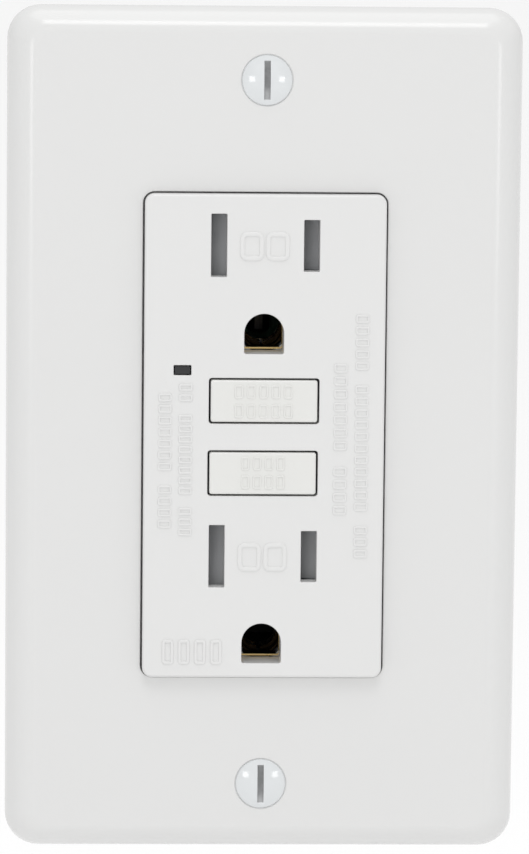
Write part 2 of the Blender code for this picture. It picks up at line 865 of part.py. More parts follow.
def build_line_bar(name, side):
    """The bar that brings line current through the sensor to the moving arm."""
    bar = block(name, on_side(side, 0.5, 2.1), (10.2, BOARD_FRONT - GAP), around(SENSOR_Z, 1.1))
    front = (10.1, 10.9)
    join(bar, block(name + "_run", on_side(side, 0.4, 10.2), front, around(SENSOR_Z, 1.0)))
    join(bar, block(name + "_riser", on_side(side, 6.7, 10.1), (10.15, 10.85), (SENSOR_Z - 0.9, -11.6)))
    join(bar, block(name + "_lug", on_side(side, 7.5, 10.0), (10.3, 12.4), (-12.4, -11.7)))
    give_finish(bar, "copper")
    return bar


def build_contact_arm(name, side):
    """The springy arm that the carriage presses onto the fixed contact."""
    arm = block(
        name,
        around(side * ARM_X, ARM_WIDTH / 2),
        (ARM_FRONT, ARM_BACK),
        (ARM_PIVOT_Z - 0.3, CONTACT_Z + 2.0),
    )
    join(arm, rod(name + "_pad", (side * ARM_X, CONTACT_Z), (10.1, ARM_FRONT + 0.3), 1.4, sides=12))
    put_origin(arm, (side * ARM_X, (ARM_FRONT + ARM_BACK) / 2, ARM_PIVOT_Z))
    give_finish(arm, "copper")
    return arm


# ---------------------------------------------------------------------------------------
# Trip mechanism
# ---------------------------------------------------------------------------------------

def build_carriage():
    """The plastic block that rides on the reset pin and lifts both arms with its wings."""
    carriage = block("carriage", both(5.0), (10.0, 13.6), (0.5, 9.0))
    join(carriage, block("carriage_wings", both(10.4), (12.2, 13.55), (3.0, 6.5)))
    cut(carriage, rod("carriage_hole", (0.0, RESET_Z), (9.0, 15.0), 1.6))
    give_finish(carriage, "white_plastic")
    return carriage


def build_latch_plate():
    """The latch that slides behind the carriage and holds or frees the reset pin."""
    latch = block("latch_plate", both(3.2), (LATCH_FRONT, LATCH_BACK), (0.5, 10.9))
    pin_slot = block("latch_slot", both(1.5), (LATCH_FRONT - 1, LATCH_BACK + 1), (3.2, 8.1))
    cut(latch, pin_slot)
    give_finish(latch, "steel")
    return latch


def build_test_leaf():
    """The leaf that the test button bends onto the board's test pad."""
    leaf = block("test_leaf", both(1.5), (LEAF_FRONT, LEAF_BACK), (LEAF_PIVOT_Z - 0.4, -4.0))
    put_origin(leaf, (0.0, (LEAF_FRONT + LEAF_BACK) / 2, LEAF_PIVOT_Z))
    give_finish(leaf, "spring_steel")
    return leaf


def build_solenoid_bobbin():
    """The bobbin, bored for the plunger, with feet on the board."""
    centre = (0.0, SOLENOID_Y)
    bobbin = rod("solenoid_bobbin", centre, (17.4, 25.6), 2.5, axis=2)
    for name, span in (("low", (17.2, 18.0)), ("high", (25.0, 25.8))):
        flange = block("flange_" + name, both(5.0), (SOLENOID_Y - 5.0, BOARD_FRONT - GAP), span)
        join(bobbin, flange)
    cut(bobbin, rod("plunger_bore", centre, (16.0, 27.0), 1.8, axis=2))
    give_finish(bobbin, "black_plastic")
    return bobbin


def build_solenoid_winding():
    """The copper winding, a thick ring between the bobbin's flanges."""
    profile = [(4.6, 24.7), (4.6, 18.3), (2.8, 18.3), (2.8, 24.7)]
    winding = turned("solenoid_winding", (0.0, SOLENOID_Y), profile, axis=2, closed=True)
    give_finish(winding, "copper")
    return winding


def build_plunger():
    """The steel plunger, with a collar for its return spring."""
    profile = [
        (0.0, 31.2),
        (2.4, 31.2),
        (2.4, 30.5),
        (1.5, 30.5),
        (1.5, 12.2),
        (1.1, 11.8),
        (0.0, 11.8),
    ]
    plunger = turned("plunger", (0.0, SOLENOID_Y), profile, axis=2)
    give_finish(plunger, "steel")
    return plunger


def build_plunger_spring():
    """The spring that lifts the plunger clear of the latch."""
    spring = coil("plunger_spring", (0.0, SOLENOID_Y), (26.1, 30.2), 2.05, 0.18, 4, axis=2)
    give_finish(spring, "spring_steel")
    return spring


# ---------------------------------------------------------------------------------------
# Circuit board and what is on it
# ---------------------------------------------------------------------------------------

def build_circuit_board():
    """The board at the back of the housing."""
    board = block("circuit_board", both(14.6), (BOARD_FRONT, BOARD_BACK), both(26.4))
    give_finish(board, "board_green")
    return board


def build_sensor_housing():
    """The cup that holds both current-sensing coils around the line bars."""
    profile = [
        (8.5, 22.3),
        (8.5, 11.2),
        (2.8, 11.2),
        (2.8, 21.6),
        (3.6, 21.6),
        (3.6, 12.0),
        (7.9, 12.0),
        (7.9, 22.3),
    ]
    cup = turned("sensor_housing", (0.0, SENSOR_Z), profile, closed=True)
    give_finish(cup, "black_plastic")
    return cup


def build_sensor_coil(name, front):
    """A wound toroid in the sensor housing."""
    inner, outer, height = 4.0, 7.5, 4.2
    corner = 0.8
    back = front + height
    profile = [
        (outer - corner, back),
        (outer, back - corner),
        (outer, front + corner),
        (outer - corner, front),
        (inner + corner, front),
        (inner, front + corner),
        (inner, back - corner),
        (inner + corner, back),
    ]
    ring = turned(name, (0.0, SENSOR_Z), profile, closed=True)
    give_finish(ring, "copper")
    return ring


def build_varistor():
    """The surge-absorbing disc."""
    disc = rod("varistor", (17.6, 20.0), (8.3, 11.2), 4.2, axis=0)
    give_finish(disc, "orange_disc")
    return disc


def build_controller_chip():
    """The controller that watches the coils."""
    chip = block("controller_chip", (-12.0, -7.0), (21.0, BOARD_FRONT - GAP), (15.0, 24.0))
    give_finish(chip, "black_plastic")
    return chip


def build_status_led():
    """The indicator light on the board, under the light pipe."""
    led = rod("status_led", (PIPE_X, LIGHT_Z), (21.1, BOARD_FRONT - GAP), 0.9, sides=12)
    give_finish(led, "clear_plastic")
    return led


# ---------------------------------------------------------------------------------------
# Terminals
# ---------------------------------------------------------------------------------------

def build_terminal_bracket(name, side, position):
    """The threaded bracket of one side terminal, with a tail into the body."""
    z = TERMINAL_Z[position]
    far = TERMINAL_X + BRACKET_THICKNESS
    bracket = block(name, on_side(side, TERMINAL_X, far), around(TERMINAL_Y, 4.6), around(z, 4.8))
    if position == "load":
        tail = block(name + "_tail", on_side(side, 6.2, far - 0.2), (10.2, 11.0), (19.1, 21.9))
        join(bracket, tail)
    else:
        tail = block(name + "_tail", on_side(side, 11.4, far - 0.2), (17.6, 18.4), (-22.1, -19.1))
        join(bracket, tail)
        pin = block(name + "_pin", on_side(side, 11.5, 12.2), (17.7, BOARD_FRONT - GAP), (-21.6, -19.6))
        join(bracket, pin)
    cut(bracket, rod(name + "_thread", (TERMINAL_Y, z), on_side(side, 15.0, 19.0), 2.25, axis=0))
    give_finish(bracket, "brass" if side > 0 else "silver_plate")
    return bracket


def build_clamp_plate(name, side, centre, inner, finish):
    """The plate that the terminal screw presses onto the wires."""
    y, z = centre
    plate = block(
        name,
        on_side(side, inner, inner + CLAMP_THICKNESS),
        around(y, 4.2),
        around(z, 4.4),
        radius=0.8,
        along=0,
        steps=2,
    )
    cut(plate, rod(name + "_hole", centre, on_side(side, inner - 1, inner + 3), 2.35, axis=0))
    give_finish(plate, finish)
    return plate


def build_terminal_screw(name, side, centre, seat, reach, finish):
    """A terminal screw whose head bears on the clamp plate at seat."""
    thread, head = 1.95, 3.9
    profile = [
        (0.0, seat + 2.5),
        (2.0, seat + 2.4),
        (3.3, seat + 1.9),
        (head, seat + 1.2),
        (head, seat + 0.2),
        (head - 0.2, seat),
        (thread, seat),
        (thread, seat - reach + 0.6),
        (thread - 0.6, seat - reach),
        (0.0, seat - reach),
    ]
    screw = turned(name, centre, profile, axis=0, away=side)
    top = side * (seat + 2.5)
    cut(screw, slot_across(name + "_slot", 0, centre, top, -side * 1.2, 9.0, 1.1))
    give_finish(screw, finish)
    return screw


# ---------------------------------------------------------------------------------------
# Assembly
# ---------------------------------------------------------------------------------------

def build_face_group():
    """Plate, cover, buttons, indicator and plate screws."""
    pieces = [build_wall_plate()]
    pieces.append(build_plate_screw("plate_screw_top", PLATE_SCREW_Z))
    pieces.append(build_plate_screw("plate_screw_bottom", -PLATE_SCREW_Z))
    pieces.append(build_front_cover())
    reset_button = build_reset_button()
    reset_pin = build_reset_pin()
    carry(reset_button, reset_pin)
    pieces += [reset_button, reset_pin, build_reset_spring(), build_test_button(), build_light_pipe()]
    return pieces


def build_strap_group():
    """Strap, box screws, ground contacts and shutters."""
    pieces = [build_mounting_strap()]
    pieces.append(build_box_screw("box_screw_top", BOX_SCREW_Z))
    pieces.append(build_box_screw("box_screw_bottom", -BOX_SCREW_Z))
    for name, blade_line in BLADE_LINES.items():
        pieces.append(build_ground_contact(name, blade_line))
        pieces.append(build_shutter(name, blade_line))
        pieces.append(build_shutter_guide(name, blade_line))
        pieces.append(build_shutter_spring(name, blade_line))
    return pieces


def build_body_group():
    """Middle frame, rear housing and its four screws."""
    pieces = [build_mid_frame(), build_rear_housing()]
    number = 0
    for side in (1, -1):
        for up in (1, -1):
            number += 1
            pieces.append(build_housing_screw(number, side * FIXING_X, up * FIXING_Z))
    return pieces


def build_current_path():
    """Face contacts, line bars and moving arms, hot on the right and neutral on the left."""
    pieces = []
    for name, side in (("hot", 1), ("neutral", -1)):
        pieces.append(build_face_contact(name + "_contact", side))
        pieces.append(build_line_bar(name + "_line_bar", side))
        pieces.append(build_contact_arm("contact_arm_" + name, side))
    return pieces


def build_trip_group():
    """Carriage, latch, test leaf and solenoid."""
    carriage = build_carriage()
    latch = build_latch_plate()
    carry(carriage, latch)
    return [
        carriage,
        latch,
        build_test_leaf(),
        build_solenoid_bobbin(),
        build_solenoid_winding(),
        build_plunger(),
        build_plunger_spring(),
    ]


def build_board_group():
    """Circuit board, sensor coils and components."""
    return [
        build_circuit_board(),
        build_sensor_housing(),
        build_sensor_coil("differential_coil", 12.6),
        build_sensor_coil("neutral_fault_coil", 17.4),
        build_varistor(),
        build_controller_chip(),
        build_status_led(),
    ]


def build_terminals():
    """Four side terminals and the ground terminal."""
    pieces = []
    for wire, side, finish in (("hot", 1, "brass"), ("neutral", -1, "silver_plate")):
        for position, z in TERMINAL_Z.items():
            name = f"{wire}_{position}"
            clamp_inner = TERMINAL_X + BRACKET_THICKNESS + GAP
            seat = clamp_inner + CLAMP_THICKNESS + GAP
            centre = (TERMINAL_Y, z)
            pieces.append(build_terminal_bracket(name + "_terminal", side, position))
            clamp = build_clamp_plate(name + "_clamp", side, centre, clamp_inner, finish)
            screw = build_terminal_screw(name + "_screw", side, centre, seat, 6.4, finish)
            carry(clamp, screw)
            pieces += [clamp, screw]
    centre = (GROUND_TERMINAL_Y, GROUND_TAB_Z)
    clamp_inner = -GROUND_TAB_X + BRACKET_THICKNESS + 2 * GAP
    seat = clamp_inner + CLAMP_THICKNESS + GAP
    clamp = build_clamp_plate("ground_clamp", -1, centre, clamp_inner, "steel")
    screw = build_terminal_screw("ground_screw", -1, centre, seat, 6.4, "green_screw")
    carry(clamp, screw)
    return pieces + [clamp, screw]


def main():
    """Build every piece and file it in the outlet's collection."""
    clear_scene()
    outlet = make_collection("ground_fault_outlet")
    make_collection("cutters")
    pieces = build_face_group()
    pieces += build_strap_group()
    pieces += build_body_group()
    pieces += build_current_path()
    pieces += build_trip_group()
    pieces += build_board_group()
    pieces += build_terminals()
    for piece in pieces:
        bpy.context.scene.collection.objects.unlink(piece)
        outlet.objects.link(piece)


main()
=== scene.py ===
"""Looks of the ground-fault outlet: fine surfaces, materials, studio light and camera.

Sizes are in millimetres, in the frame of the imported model: +X right, +Y into the wall, +Z up.
"""
import json
import math

import bmesh
import bpy
from mathutils import Matrix, Vector


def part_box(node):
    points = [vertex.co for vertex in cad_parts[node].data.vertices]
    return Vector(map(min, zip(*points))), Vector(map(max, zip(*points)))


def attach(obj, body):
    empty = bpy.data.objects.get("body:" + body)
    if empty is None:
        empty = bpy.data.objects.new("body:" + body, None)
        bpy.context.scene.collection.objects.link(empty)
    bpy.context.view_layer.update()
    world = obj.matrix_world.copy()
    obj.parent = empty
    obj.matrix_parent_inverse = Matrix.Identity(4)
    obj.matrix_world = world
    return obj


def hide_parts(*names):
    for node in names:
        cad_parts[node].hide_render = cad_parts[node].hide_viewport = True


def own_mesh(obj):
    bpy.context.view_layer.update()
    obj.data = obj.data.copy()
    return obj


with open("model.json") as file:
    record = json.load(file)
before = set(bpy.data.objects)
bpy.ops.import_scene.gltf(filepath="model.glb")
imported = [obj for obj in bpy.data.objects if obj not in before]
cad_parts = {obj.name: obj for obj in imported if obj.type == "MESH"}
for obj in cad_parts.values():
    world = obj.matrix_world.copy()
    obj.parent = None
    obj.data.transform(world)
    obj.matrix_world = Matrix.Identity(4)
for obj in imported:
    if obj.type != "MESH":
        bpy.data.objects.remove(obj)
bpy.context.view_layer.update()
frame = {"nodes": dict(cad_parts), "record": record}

MM = 0.001
NODES = frame["nodes"]
RECORD = frame["record"]
BODY_OF = {node: body for body, nodes in RECORD["behaviour"]["bodies"].items() for node in nodes}
SIDES = 48
CLEAN = 0.0005


# ------------------------------
# Places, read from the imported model
# ------------------------------

def spans(node):
    """A node's spans along X, Y and Z in millimetres."""
    low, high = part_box(node)
    return [(low[axis] / MM, high[axis] / MM) for axis in range(3)]


def middle(node):
    """The middle of a node's box in millimetres."""
    return [(low + high) / 2 for low, high in spans(node)]


def half(node):
    """Half the size of a node's box in millimetres."""
    return [(high - low) / 2 for low, high in spans(node)]


# ------------------------------
# Mesh helpers
# ------------------------------

def add_object(name, shape):
    """Turn a closed bmesh in millimetres into an object in metres with its faces pointing out."""
    bmesh.ops.remove_doubles(shape, verts=shape.verts, dist=CLEAN)
    bmesh.ops.recalc_face_normals(shape, faces=shape.faces)
    bmesh.ops.scale(shape, vec=(MM, MM, MM), verts=shape.verts)
    mesh = bpy.data.meshes.new(name)
    shape.to_mesh(mesh)
    shape.free()
    obj = bpy.data.objects.new(name, mesh)
    bpy.context.scene.collection.objects.link(obj)
    return obj


def rounded_loop(half_x, half_z, radius, y, centre=(0.0, 0.0), steps=8):
    """A rounded rectangle in the plane at depth y."""
    points = []
    for quarter, (side, up) in enumerate(((1, 1), (-1, 1), (-1, -1), (1, -1))):
        corner_x = centre[0] + side * (half_x - radius)
        corner_z = centre[1] + up * (half_z - radius)
        for step in range(steps + 1):
            angle = (quarter + step / steps) * math.pi / 2
            points.append((corner_x + radius * math.cos(angle), y, corner_z + radius * math.sin(angle)))
    return points


def loft(name, loops, ring=False, capped=True):
    """A closed shape through loops of equal length; a ring joins the last loop to the first."""
    shape = bmesh.new()
    rows = [[shape.verts.new(point) for point in loop] for loop in loops]
    pairs = list(zip(rows, rows[1:]))
    if ring:
        pairs.append((rows[-1], rows[0]))
    for first, second in pairs:
        count = len(first)
        for index in range(count):
            following = (index + 1) % count
            shape.faces.new((first[index], first[following], second[following], second[index]))
    if capped and not ring:
        shape.faces.new(rows[0])
        shape.faces.new(rows[-1])
    return add_object(name, shape)


def axis_frame(axis):
    """Unit vectors (along, across, up) for an axis number, with the along vector positive."""
    along = Vector([float(axis == number) for number in range(3)])
    across = Vector((0, 1, 0)) if axis == 0 else Vector((1, 0, 0))
    return along, across, along.cross(across)


def axis_origin(axis, centre):
    """The point at zero on an axis whose two other coordinates are given."""
    place = list(centre)
    place.insert(axis, 0.0)
    return Vector(place)


def circle(axis, centre, radius, distance, steps=SIDES):
    """Points of a circle about an axis through a centre given by its two other coordinates."""
    along, across, up = axis_frame(axis)
    origin = axis_origin(axis, centre)
    points = []
    for step in range(steps):
        angle = 2 * math.pi * step / steps
        spoke = across * math.cos(angle) + up * math.sin(angle)
        points.append(origin + along * distance + spoke * radius)
    return points


def softened(profile, radius, steps=3, closed=False):
    """A profile with its corners rounded."""
    points = [Vector(point) for point in profile]
    count = len(points)
    rounded = []
    for index, corner in enumerate(points):
        if not closed and index in (0, count - 1):
            rounded.append(corner)
            continue
        before, after = points[index - 1], points[(index + 1) % count]
        reach = min(radius, 0.45 * (before - corner).length, 0.45 * (after - corner).length)
        start = corner + (before - corner).normalized() * reach
        end = corner + (after - corner).normalized() * reach
        for step in range(steps + 1):
            share = step / steps
            rounded.append(start.lerp(corner, share).lerp(corner.lerp(end, share), share))
    return [tuple(point) for point in rounded]


def turned(name, axis, centre, profile, edge=0.0, ring=False, steps=SIDES):
    """A turned shape from a profile of (radius, distance along the axis)."""
    if edge:
        profile = softened(profile, edge, closed=ring)
    loops = [circle(axis, centre, radius, distance, steps) for radius, distance in profile]
    capped = profile[0][0] > CLEAN and profile[-1][0] > CLEAN
    return loft(name, loops, ring=ring, capped=capped)


def cylinder(name, axis, centre, radius, span, steps=SIDES):
    """A plain round bar along an axis, for a boss or as a round hole's cutter."""
    low, high = span
    return turned(name, axis, centre, [(0.0, low), (radius, low), (radius, high), (0.0, high)], steps=steps)


def rounded_box(name, x, y, z, edge=0.3, steps=3):
    """A box that fills three spans, with every edge rounded."""
    shape = bmesh.new()
    bmesh.ops.create_cube(shape, size=1.0)
    size = [high - low for low, high in (x, y, z)]
    place = [(high + low) / 2 for low, high in (x, y, z)]
    bmesh.ops.scale(shape, vec=size, verts=shape.verts)
    bmesh.ops.translate(shape, vec=place, verts=shape.verts)
    if edge:
        bmesh.ops.bevel(shape, geom=shape.edges[:], offset=min(edge, 0.45 * min(size)),
                        segments=steps, profile=0.5, affect="EDGES")
    return add_object(name, shape)


def slab(name, centre, half_x, half_z, y, corner, edge):
    """A plate parallel to the wall with round corners and both rims rounded by edge."""
    near, far = y
    loops = []
    for depth, turn in ((near, 1), (far, -1)):
        arc = []
        for step in range(4):
            angle = step / 3 * math.pi / 2
            inset = edge * (1 - math.cos(angle))
            arc.append((inset, depth + turn * edge * (1 - math.sin(angle))))
        loops += arc[::-1] if turn > 0 else arc
    return loft(name, [
        rounded_loop(half_x - inset, half_z - inset, max(corner - inset, 0.02), depth, centre)
        for inset, depth in loops
    ])


def around(place, reach):
    """The span of a given half width about a place."""
    return (place - reach, place + reach)


def on_side(side, near, far):
    """A span between two distances from the middle, on the right (1) or the left (-1)."""
    return tuple(sorted((side * near, side * far)))


def combine(target, tool, operation):
    """Add a Boolean to be baked into the target."""
    boolean = target.modifiers.new(tool.name, "BOOLEAN")
    boolean.operation = operation
    boolean.solver = "EXACT"
    boolean.object = tool


def cut(target, tool):
    """Cut a tool out of the target when it is baked."""
    combine(target, tool, "DIFFERENCE")


def unite(target, tool):
    """Unite a tool with the target when it is baked."""
    combine(target, tool, "UNION")


def bake(target):
    """Apply a piece's modifiers to its mesh and remove the tools that they used."""
    bpy.context.view_layer.update()
    tools = [m.object for m in target.modifiers if m.type == "BOOLEAN"]
    evaluated = target.evaluated_get(bpy.context.evaluated_depsgraph_get())
    mesh = bpy.data.meshes.new_from_object(evaluated)
    target.modifiers.clear()
    target.data = mesh
    for tool in tools:
        bpy.data.objects.remove(tool, do_unlink=True)
    shape = bmesh.new()
    shape.from_mesh(mesh)
    bmesh.ops.remove_doubles(shape, verts=shape.verts, dist=CLEAN * MM)
    shape.to_mesh(mesh)
    shape.free()


def absorb(target, parts):
    """Add other shapes' faces to the target's mesh and remove those shapes."""
    shape = bmesh.new()
    shape.from_mesh(target.data)
    for part in parts:
        shape.from_mesh(part.data)
        bpy.data.objects.remove(part, do_unlink=True)
    shape.to_mesh(target.data)
    shape.free()


def add_bevel(obj, width):
    """Soften a piece's sharp edges with a bevel modifier."""
    bevel = obj.modifiers.new("Edges", "BEVEL")
    bevel.width = width * MM
    bevel.segments = 2
    bevel.limit_method = "ANGLE"
    bevel.angle_limit = math.radians(50.0)


def shade(obj):
    """Smooth shading with sharp edges kept and flat faces left flat."""
    obj.data.shade_smooth()
    obj.data.set_sharp_from_angle(angle=math.radians(38.0))
    weighted = obj.modifiers.new("Weighted normals", "WEIGHTED_NORMAL")
    weighted.keep_sharp = True
    weighted.weight = 80


def present(obj, node, material):
    """Let a finished piece stand for a node: shading, material and body."""
    shade(obj)
    obj.data.materials.clear()
    obj.data.materials.append(material)
    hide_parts(node)
    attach(obj, BODY_OF[node])


def carry_over(node, material):
    """Keep a node's own shape, with softened edges and a finished material."""
    obj = NODES[node]
    weld = obj.modifiers.new("Weld", "WELD")
    weld.merge_threshold = CLEAN * MM
    add_bevel(obj, 0.08)
    obj.data.materials.clear()
    obj.data.materials.append(material)


def thread(name, axis, centre, span, root, crest, pitch, steps=24):
    """A helical thread ridge on a shank, thinning out at both ends."""
    along, across, up = axis_frame(axis)
    origin = axis_origin(axis, centre)
    shape = bmesh.new()
    count = int((span[1] - span[0] - pitch) / pitch * steps)
    rows = []
    for index in range(count + 1):
        angle = 2 * math.pi * index / steps
        spoke = across * math.cos(angle) + up * math.sin(angle)
        height = span[0] + pitch * index / steps
        fade = min(1.0, index / steps, (count - index) / steps)
        outer = root + (crest - root) * max(fade, 0.05)
        section = ((root - 0.1, 0.0), (outer, 0.4), (outer, 0.55), (root - 0.1, 0.95))
        rows.append([
            shape.verts.new(origin + along * (height + pitch * share) + spoke * radius)
            for radius, share in section
        ])
    for first, second in zip(rows, rows[1:]):
        for index in range(4):
            following = (index + 1) % 4
            shape.faces.new((first[index], first[following], second[following], second[index]))
    shape.faces.new(rows[0])
    shape.faces.new(rows[-1])
    return add_object(name, shape)


def coil(name, axis, centre, span, radius, wire, turns, steps=20, sides=10):
    """A coil spring of round wire with closed ends."""
    along, across, up = axis_frame(axis)
    origin = axis_origin(axis, centre)
    low, high = span[0] + wire, span[1] - wire
    count = int(turns * steps)
    loops = []
    for index in range(count + 1):
        angle = 2 * math.pi * index / steps
        spoke = across * math.cos(angle) + up * math.sin(angle)
        heading = up * math.cos(angle) - across * math.sin(angle)
        rise = (high - low) * index / count
        heading = (heading * radius * 2 * math.pi + along * (high - low) / turns).normalized()
        binormal = heading.cross(spoke).normalized()
        core = origin + along * (low + rise) + spoke * radius
        loops.append([
            core + spoke * wire * math.cos(2 * math.pi * side / sides)
            + binormal * wire * math.sin(2 * math.pi * side / sides)
            for side in range(sides)
        ])
    return loft(name, loops)


# ------------------------------
# Materials
# ------------------------------

def finish(name, colour, roughness, metallic=0.0, coat=0.0, drift=0.03, spread=0.05,
           patch=90.0, grain=3000.0, depth=0.004, cells=0.0, bands=None):
    """A procedural surface: drifting colour and roughness, fine relief, and cells or bands.

    drift and spread are how far colour and roughness wander over patches; grain is the number
    of relief features per metre and depth its height in millimetres; cells adds crystal-like
    patches of that many per metre; bands is (axis, per metre, depth) for turns of wire or brushing.
    """
    material = bpy.data.materials.new(name)
    material.use_nodes = True
    nodes, links = material.node_tree.nodes, material.node_tree.links
    shader = nodes["Principled BSDF"]
    shader.inputs["Metallic"].default_value = metallic
    shader.inputs["Coat Weight"].default_value = coat
    shader.inputs["Coat Roughness"].default_value = 0.08
    place = nodes.new("ShaderNodeTexCoord").outputs["Object"]

    wander = nodes.new("ShaderNodeTexNoise")
    wander.inputs["Scale"].default_value = patch
    wander.inputs["Detail"].default_value = 4.0
    links.new(place, wander.inputs["Vector"])
    factor = wander.outputs["Fac"]
    if cells:
        crystal = nodes.new("ShaderNodeTexVoronoi")
        crystal.inputs["Scale"].default_value = cells
        links.new(place, crystal.inputs["Vector"])
        blend = nodes.new("ShaderNodeMath")
        blend.operation = "MULTIPLY_ADD"
        blend.inputs[1].default_value = 0.6
        links.new(crystal.outputs["Color"], blend.inputs[0])
        links.new(wander.outputs["Fac"], blend.inputs[2])
        factor = blend.outputs["Value"]

    tint = nodes.new("ShaderNodeMix")
    tint.data_type = "RGBA"
    tint.inputs["A"].default_value = (*[max(c * (1 - drift), 0.0) for c in colour], 1.0)
    tint.inputs["B"].default_value = (*[min(c * (1 + drift), 1.0) for c in colour], 1.0)
    links.new(factor, tint.inputs["Factor"])
    links.new(tint.outputs["Result"], shader.inputs["Base Color"])

    gloss = nodes.new("ShaderNodeMapRange")
    gloss.inputs["To Min"].default_value = max(roughness - spread, 0.02)
    gloss.inputs["To Max"].default_value = roughness + spread
    links.new(factor, gloss.inputs["Value"])
    links.new(gloss.outputs["Result"], shader.inputs["Roughness"])

    relief = nodes.new("ShaderNodeTexNoise")
    relief.inputs["Scale"].default_value = grain
    relief.inputs["Detail"].default_value = 2.0
    links.new(place, relief.inputs["Vector"])
    bump = nodes.new("ShaderNodeBump")
    bump.inputs["Strength"].default_value = 0.5
    bump.inputs["Distance"].default_value = depth * MM
    links.new(relief.outputs["Fac"], bump.inputs["Height"])
    normal = bump.outputs["Normal"]
    if bands:
        axis, count, height = bands
        wave = nodes.new("ShaderNodeTexWave")
        wave.wave_type = "BANDS"
        wave.bands_direction = axis
        wave.inputs["Scale"].default_value = count / 20 * 2 * math.pi
        wave.inputs["Distortion"].default_value = 0.6
        links.new(place, wave.inputs["Vector"])
        turns = nodes.new("ShaderNodeBump")
        turns.inputs["Strength"].default_value = 0.8
        turns.inputs["Distance"].default_value = height * MM
        links.new(wave.outputs["Fac"], turns.inputs["Height"])
        links.new(normal, turns.inputs["Normal"])
        normal = turns.outputs["Normal"]
    links.new(normal, shader.inputs["Normal"])
    material.diffuse_color = (*colour, 1.0)
    return material


MATERIALS = {
    "plate": finish("plate_plastic", (0.69, 0.69, 0.685), 0.2, drift=0.006, spread=0.03,
                    patch=45.0, grain=420.0, depth=0.0015),
    "face": finish("face_plastic", (0.70, 0.70, 0.695), 0.30, drift=0.006, spread=0.04,
                   patch=60.0, grain=2600.0, depth=0.0015),
    "button": finish("button_plastic", (0.71, 0.71, 0.69), 0.26, drift=0.006, spread=0.04,
                     patch=80.0, grain=2600.0, depth=0.0012),
    "shutter": finish("shutter_plastic", (0.345, 0.35, 0.36), 0.42, drift=0.08, patch=300.0),
    # A darker grey than the paint: painted shade for the depth of the screw slot.
    "shade_in_slot": finish("painted_shade_slot", (0.40, 0.405, 0.41), 0.45, metallic=0.3, drift=0.25, spread=0.08,
                   patch=1400.0, grain=4200.0, depth=0.01),
    "window": finish("smoked_window", (0.014, 0.015, 0.016), 0.14, drift=0.1, spread=0.03),
    "clear": finish("clear_rod", (0.55, 0.57, 0.58), 0.10, coat=0.4, drift=0.04, spread=0.03),
    "paint": finish("white_paint", (0.66, 0.68, 0.69), 0.18, coat=1.0, drift=0.012, spread=0.04,
                    patch=260.0, grain=700.0, depth=0.003),
    "housing": finish("housing_plastic", (0.045, 0.048, 0.054), 0.48, drift=0.10, spread=0.06,
                      patch=140.0, grain=4200.0, depth=0.02),
    "inner": finish("frame_plastic", (0.26, 0.27, 0.29), 0.46, drift=0.06,
                    patch=140.0, grain=3600.0, depth=0.01),
    "black": finish("black_plastic", (0.02, 0.02, 0.021), 0.42, drift=0.12,
                    patch=200.0, grain=3600.0, depth=0.01),
    "zinc": finish("zinc_plate", (0.60, 0.60, 0.58), 0.34, metallic=1.0, drift=0.16, spread=0.08,
                   patch=160.0, grain=2600.0, cells=700.0),
    "steel": finish("bright_steel", (0.56, 0.56, 0.57), 0.24, metallic=1.0, drift=0.08, spread=0.06,
                    patch=420.0, grain=2400.0, depth=0.003),
    "oxide": finish("black_oxide", (0.06, 0.06, 0.065), 0.38, metallic=1.0, drift=0.15, spread=0.06,
                    patch=300.0, grain=2400.0, depth=0.003),
    "spring": finish("spring_wire", (0.46, 0.46, 0.48), 0.24, metallic=1.0, drift=0.12, spread=0.06,
                     patch=500.0, depth=0.002),
    "brass": finish("stamped_brass", (0.76, 0.55, 0.24), 0.27, metallic=1.0, drift=0.14, spread=0.08,
                    patch=260.0, grain=2200.0),
    # Near-black brass: painted shade for the dark inside of the ground holes.
    "brass_painted_shade": finish("brass_painted_shade", (0.025, 0.016, 0.007), 0.5, metallic=1.0, drift=0.2, spread=0.08,
                         patch=260.0, grain=2200.0),
    "silver": finish("tin_plate", (0.74, 0.74, 0.72), 0.26, metallic=1.0, drift=0.08, spread=0.08,
                     patch=260.0, grain=2200.0),
    "green": finish("green_plate", (0.03, 0.24, 0.09), 0.30, metallic=0.55, coat=0.2, drift=0.15,
                    spread=0.07, patch=320.0, grain=2200.0),
    "copper": finish("copper_strip", (0.72, 0.33, 0.17), 0.30, metallic=1.0, drift=0.15, spread=0.08,
                     patch=240.0, grain=2200.0),
    "winding": finish("copper_winding", (0.62, 0.24, 0.09), 0.30, metallic=0.9, coat=0.3, drift=0.14,
                      patch=300.0, grain=2600.0, bands=("Z", 5000.0, 0.08)),
    "toroid": finish("wound_ring", (0.66, 0.30, 0.10), 0.30, metallic=0.8, coat=0.3, drift=0.16,
                     patch=300.0, grain=2600.0, bands=("X", 3200.0, 0.08)),
    "board": finish("circuit_board", (0.015, 0.12, 0.05), 0.36, coat=0.3, drift=0.30, spread=0.06,
                    patch=220.0, grain=1800.0, depth=0.006, cells=260.0),
    "varistor": finish("varistor_coat", (0.66, 0.22, 0.03), 0.34, coat=0.3, drift=0.10, spread=0.06,
                       patch=240.0, grain=1500.0, depth=0.02),
}


# ------------------------------
# Wall plate and its screws
# ------------------------------

PLATE_CORNER = 4.6
PLATE_WALL = 2.2
PLATE_SIDE = 1.1
ROLL_X = 4.1
ROLL_Z = 3.5
WINDOW_HALF = (16.65, 33.4)
WINDOW_CORNER = 1.6
WINDOW_EDGE = 0.15
FACE_SHIFT = (0.1, -0.35)
SCREW_SHIFT = (0.14, -0.2)
PLATE_INNER = -3.5
HEAD_RADIUS = 3.45
DOME_SAG = 0.058
SHANK_START = 1.8
SINK_RADIUS = 3.54
SAW_RADIUS = 3.7
SAW_HALF = 0.43
SAW_DEPTH = 1.6


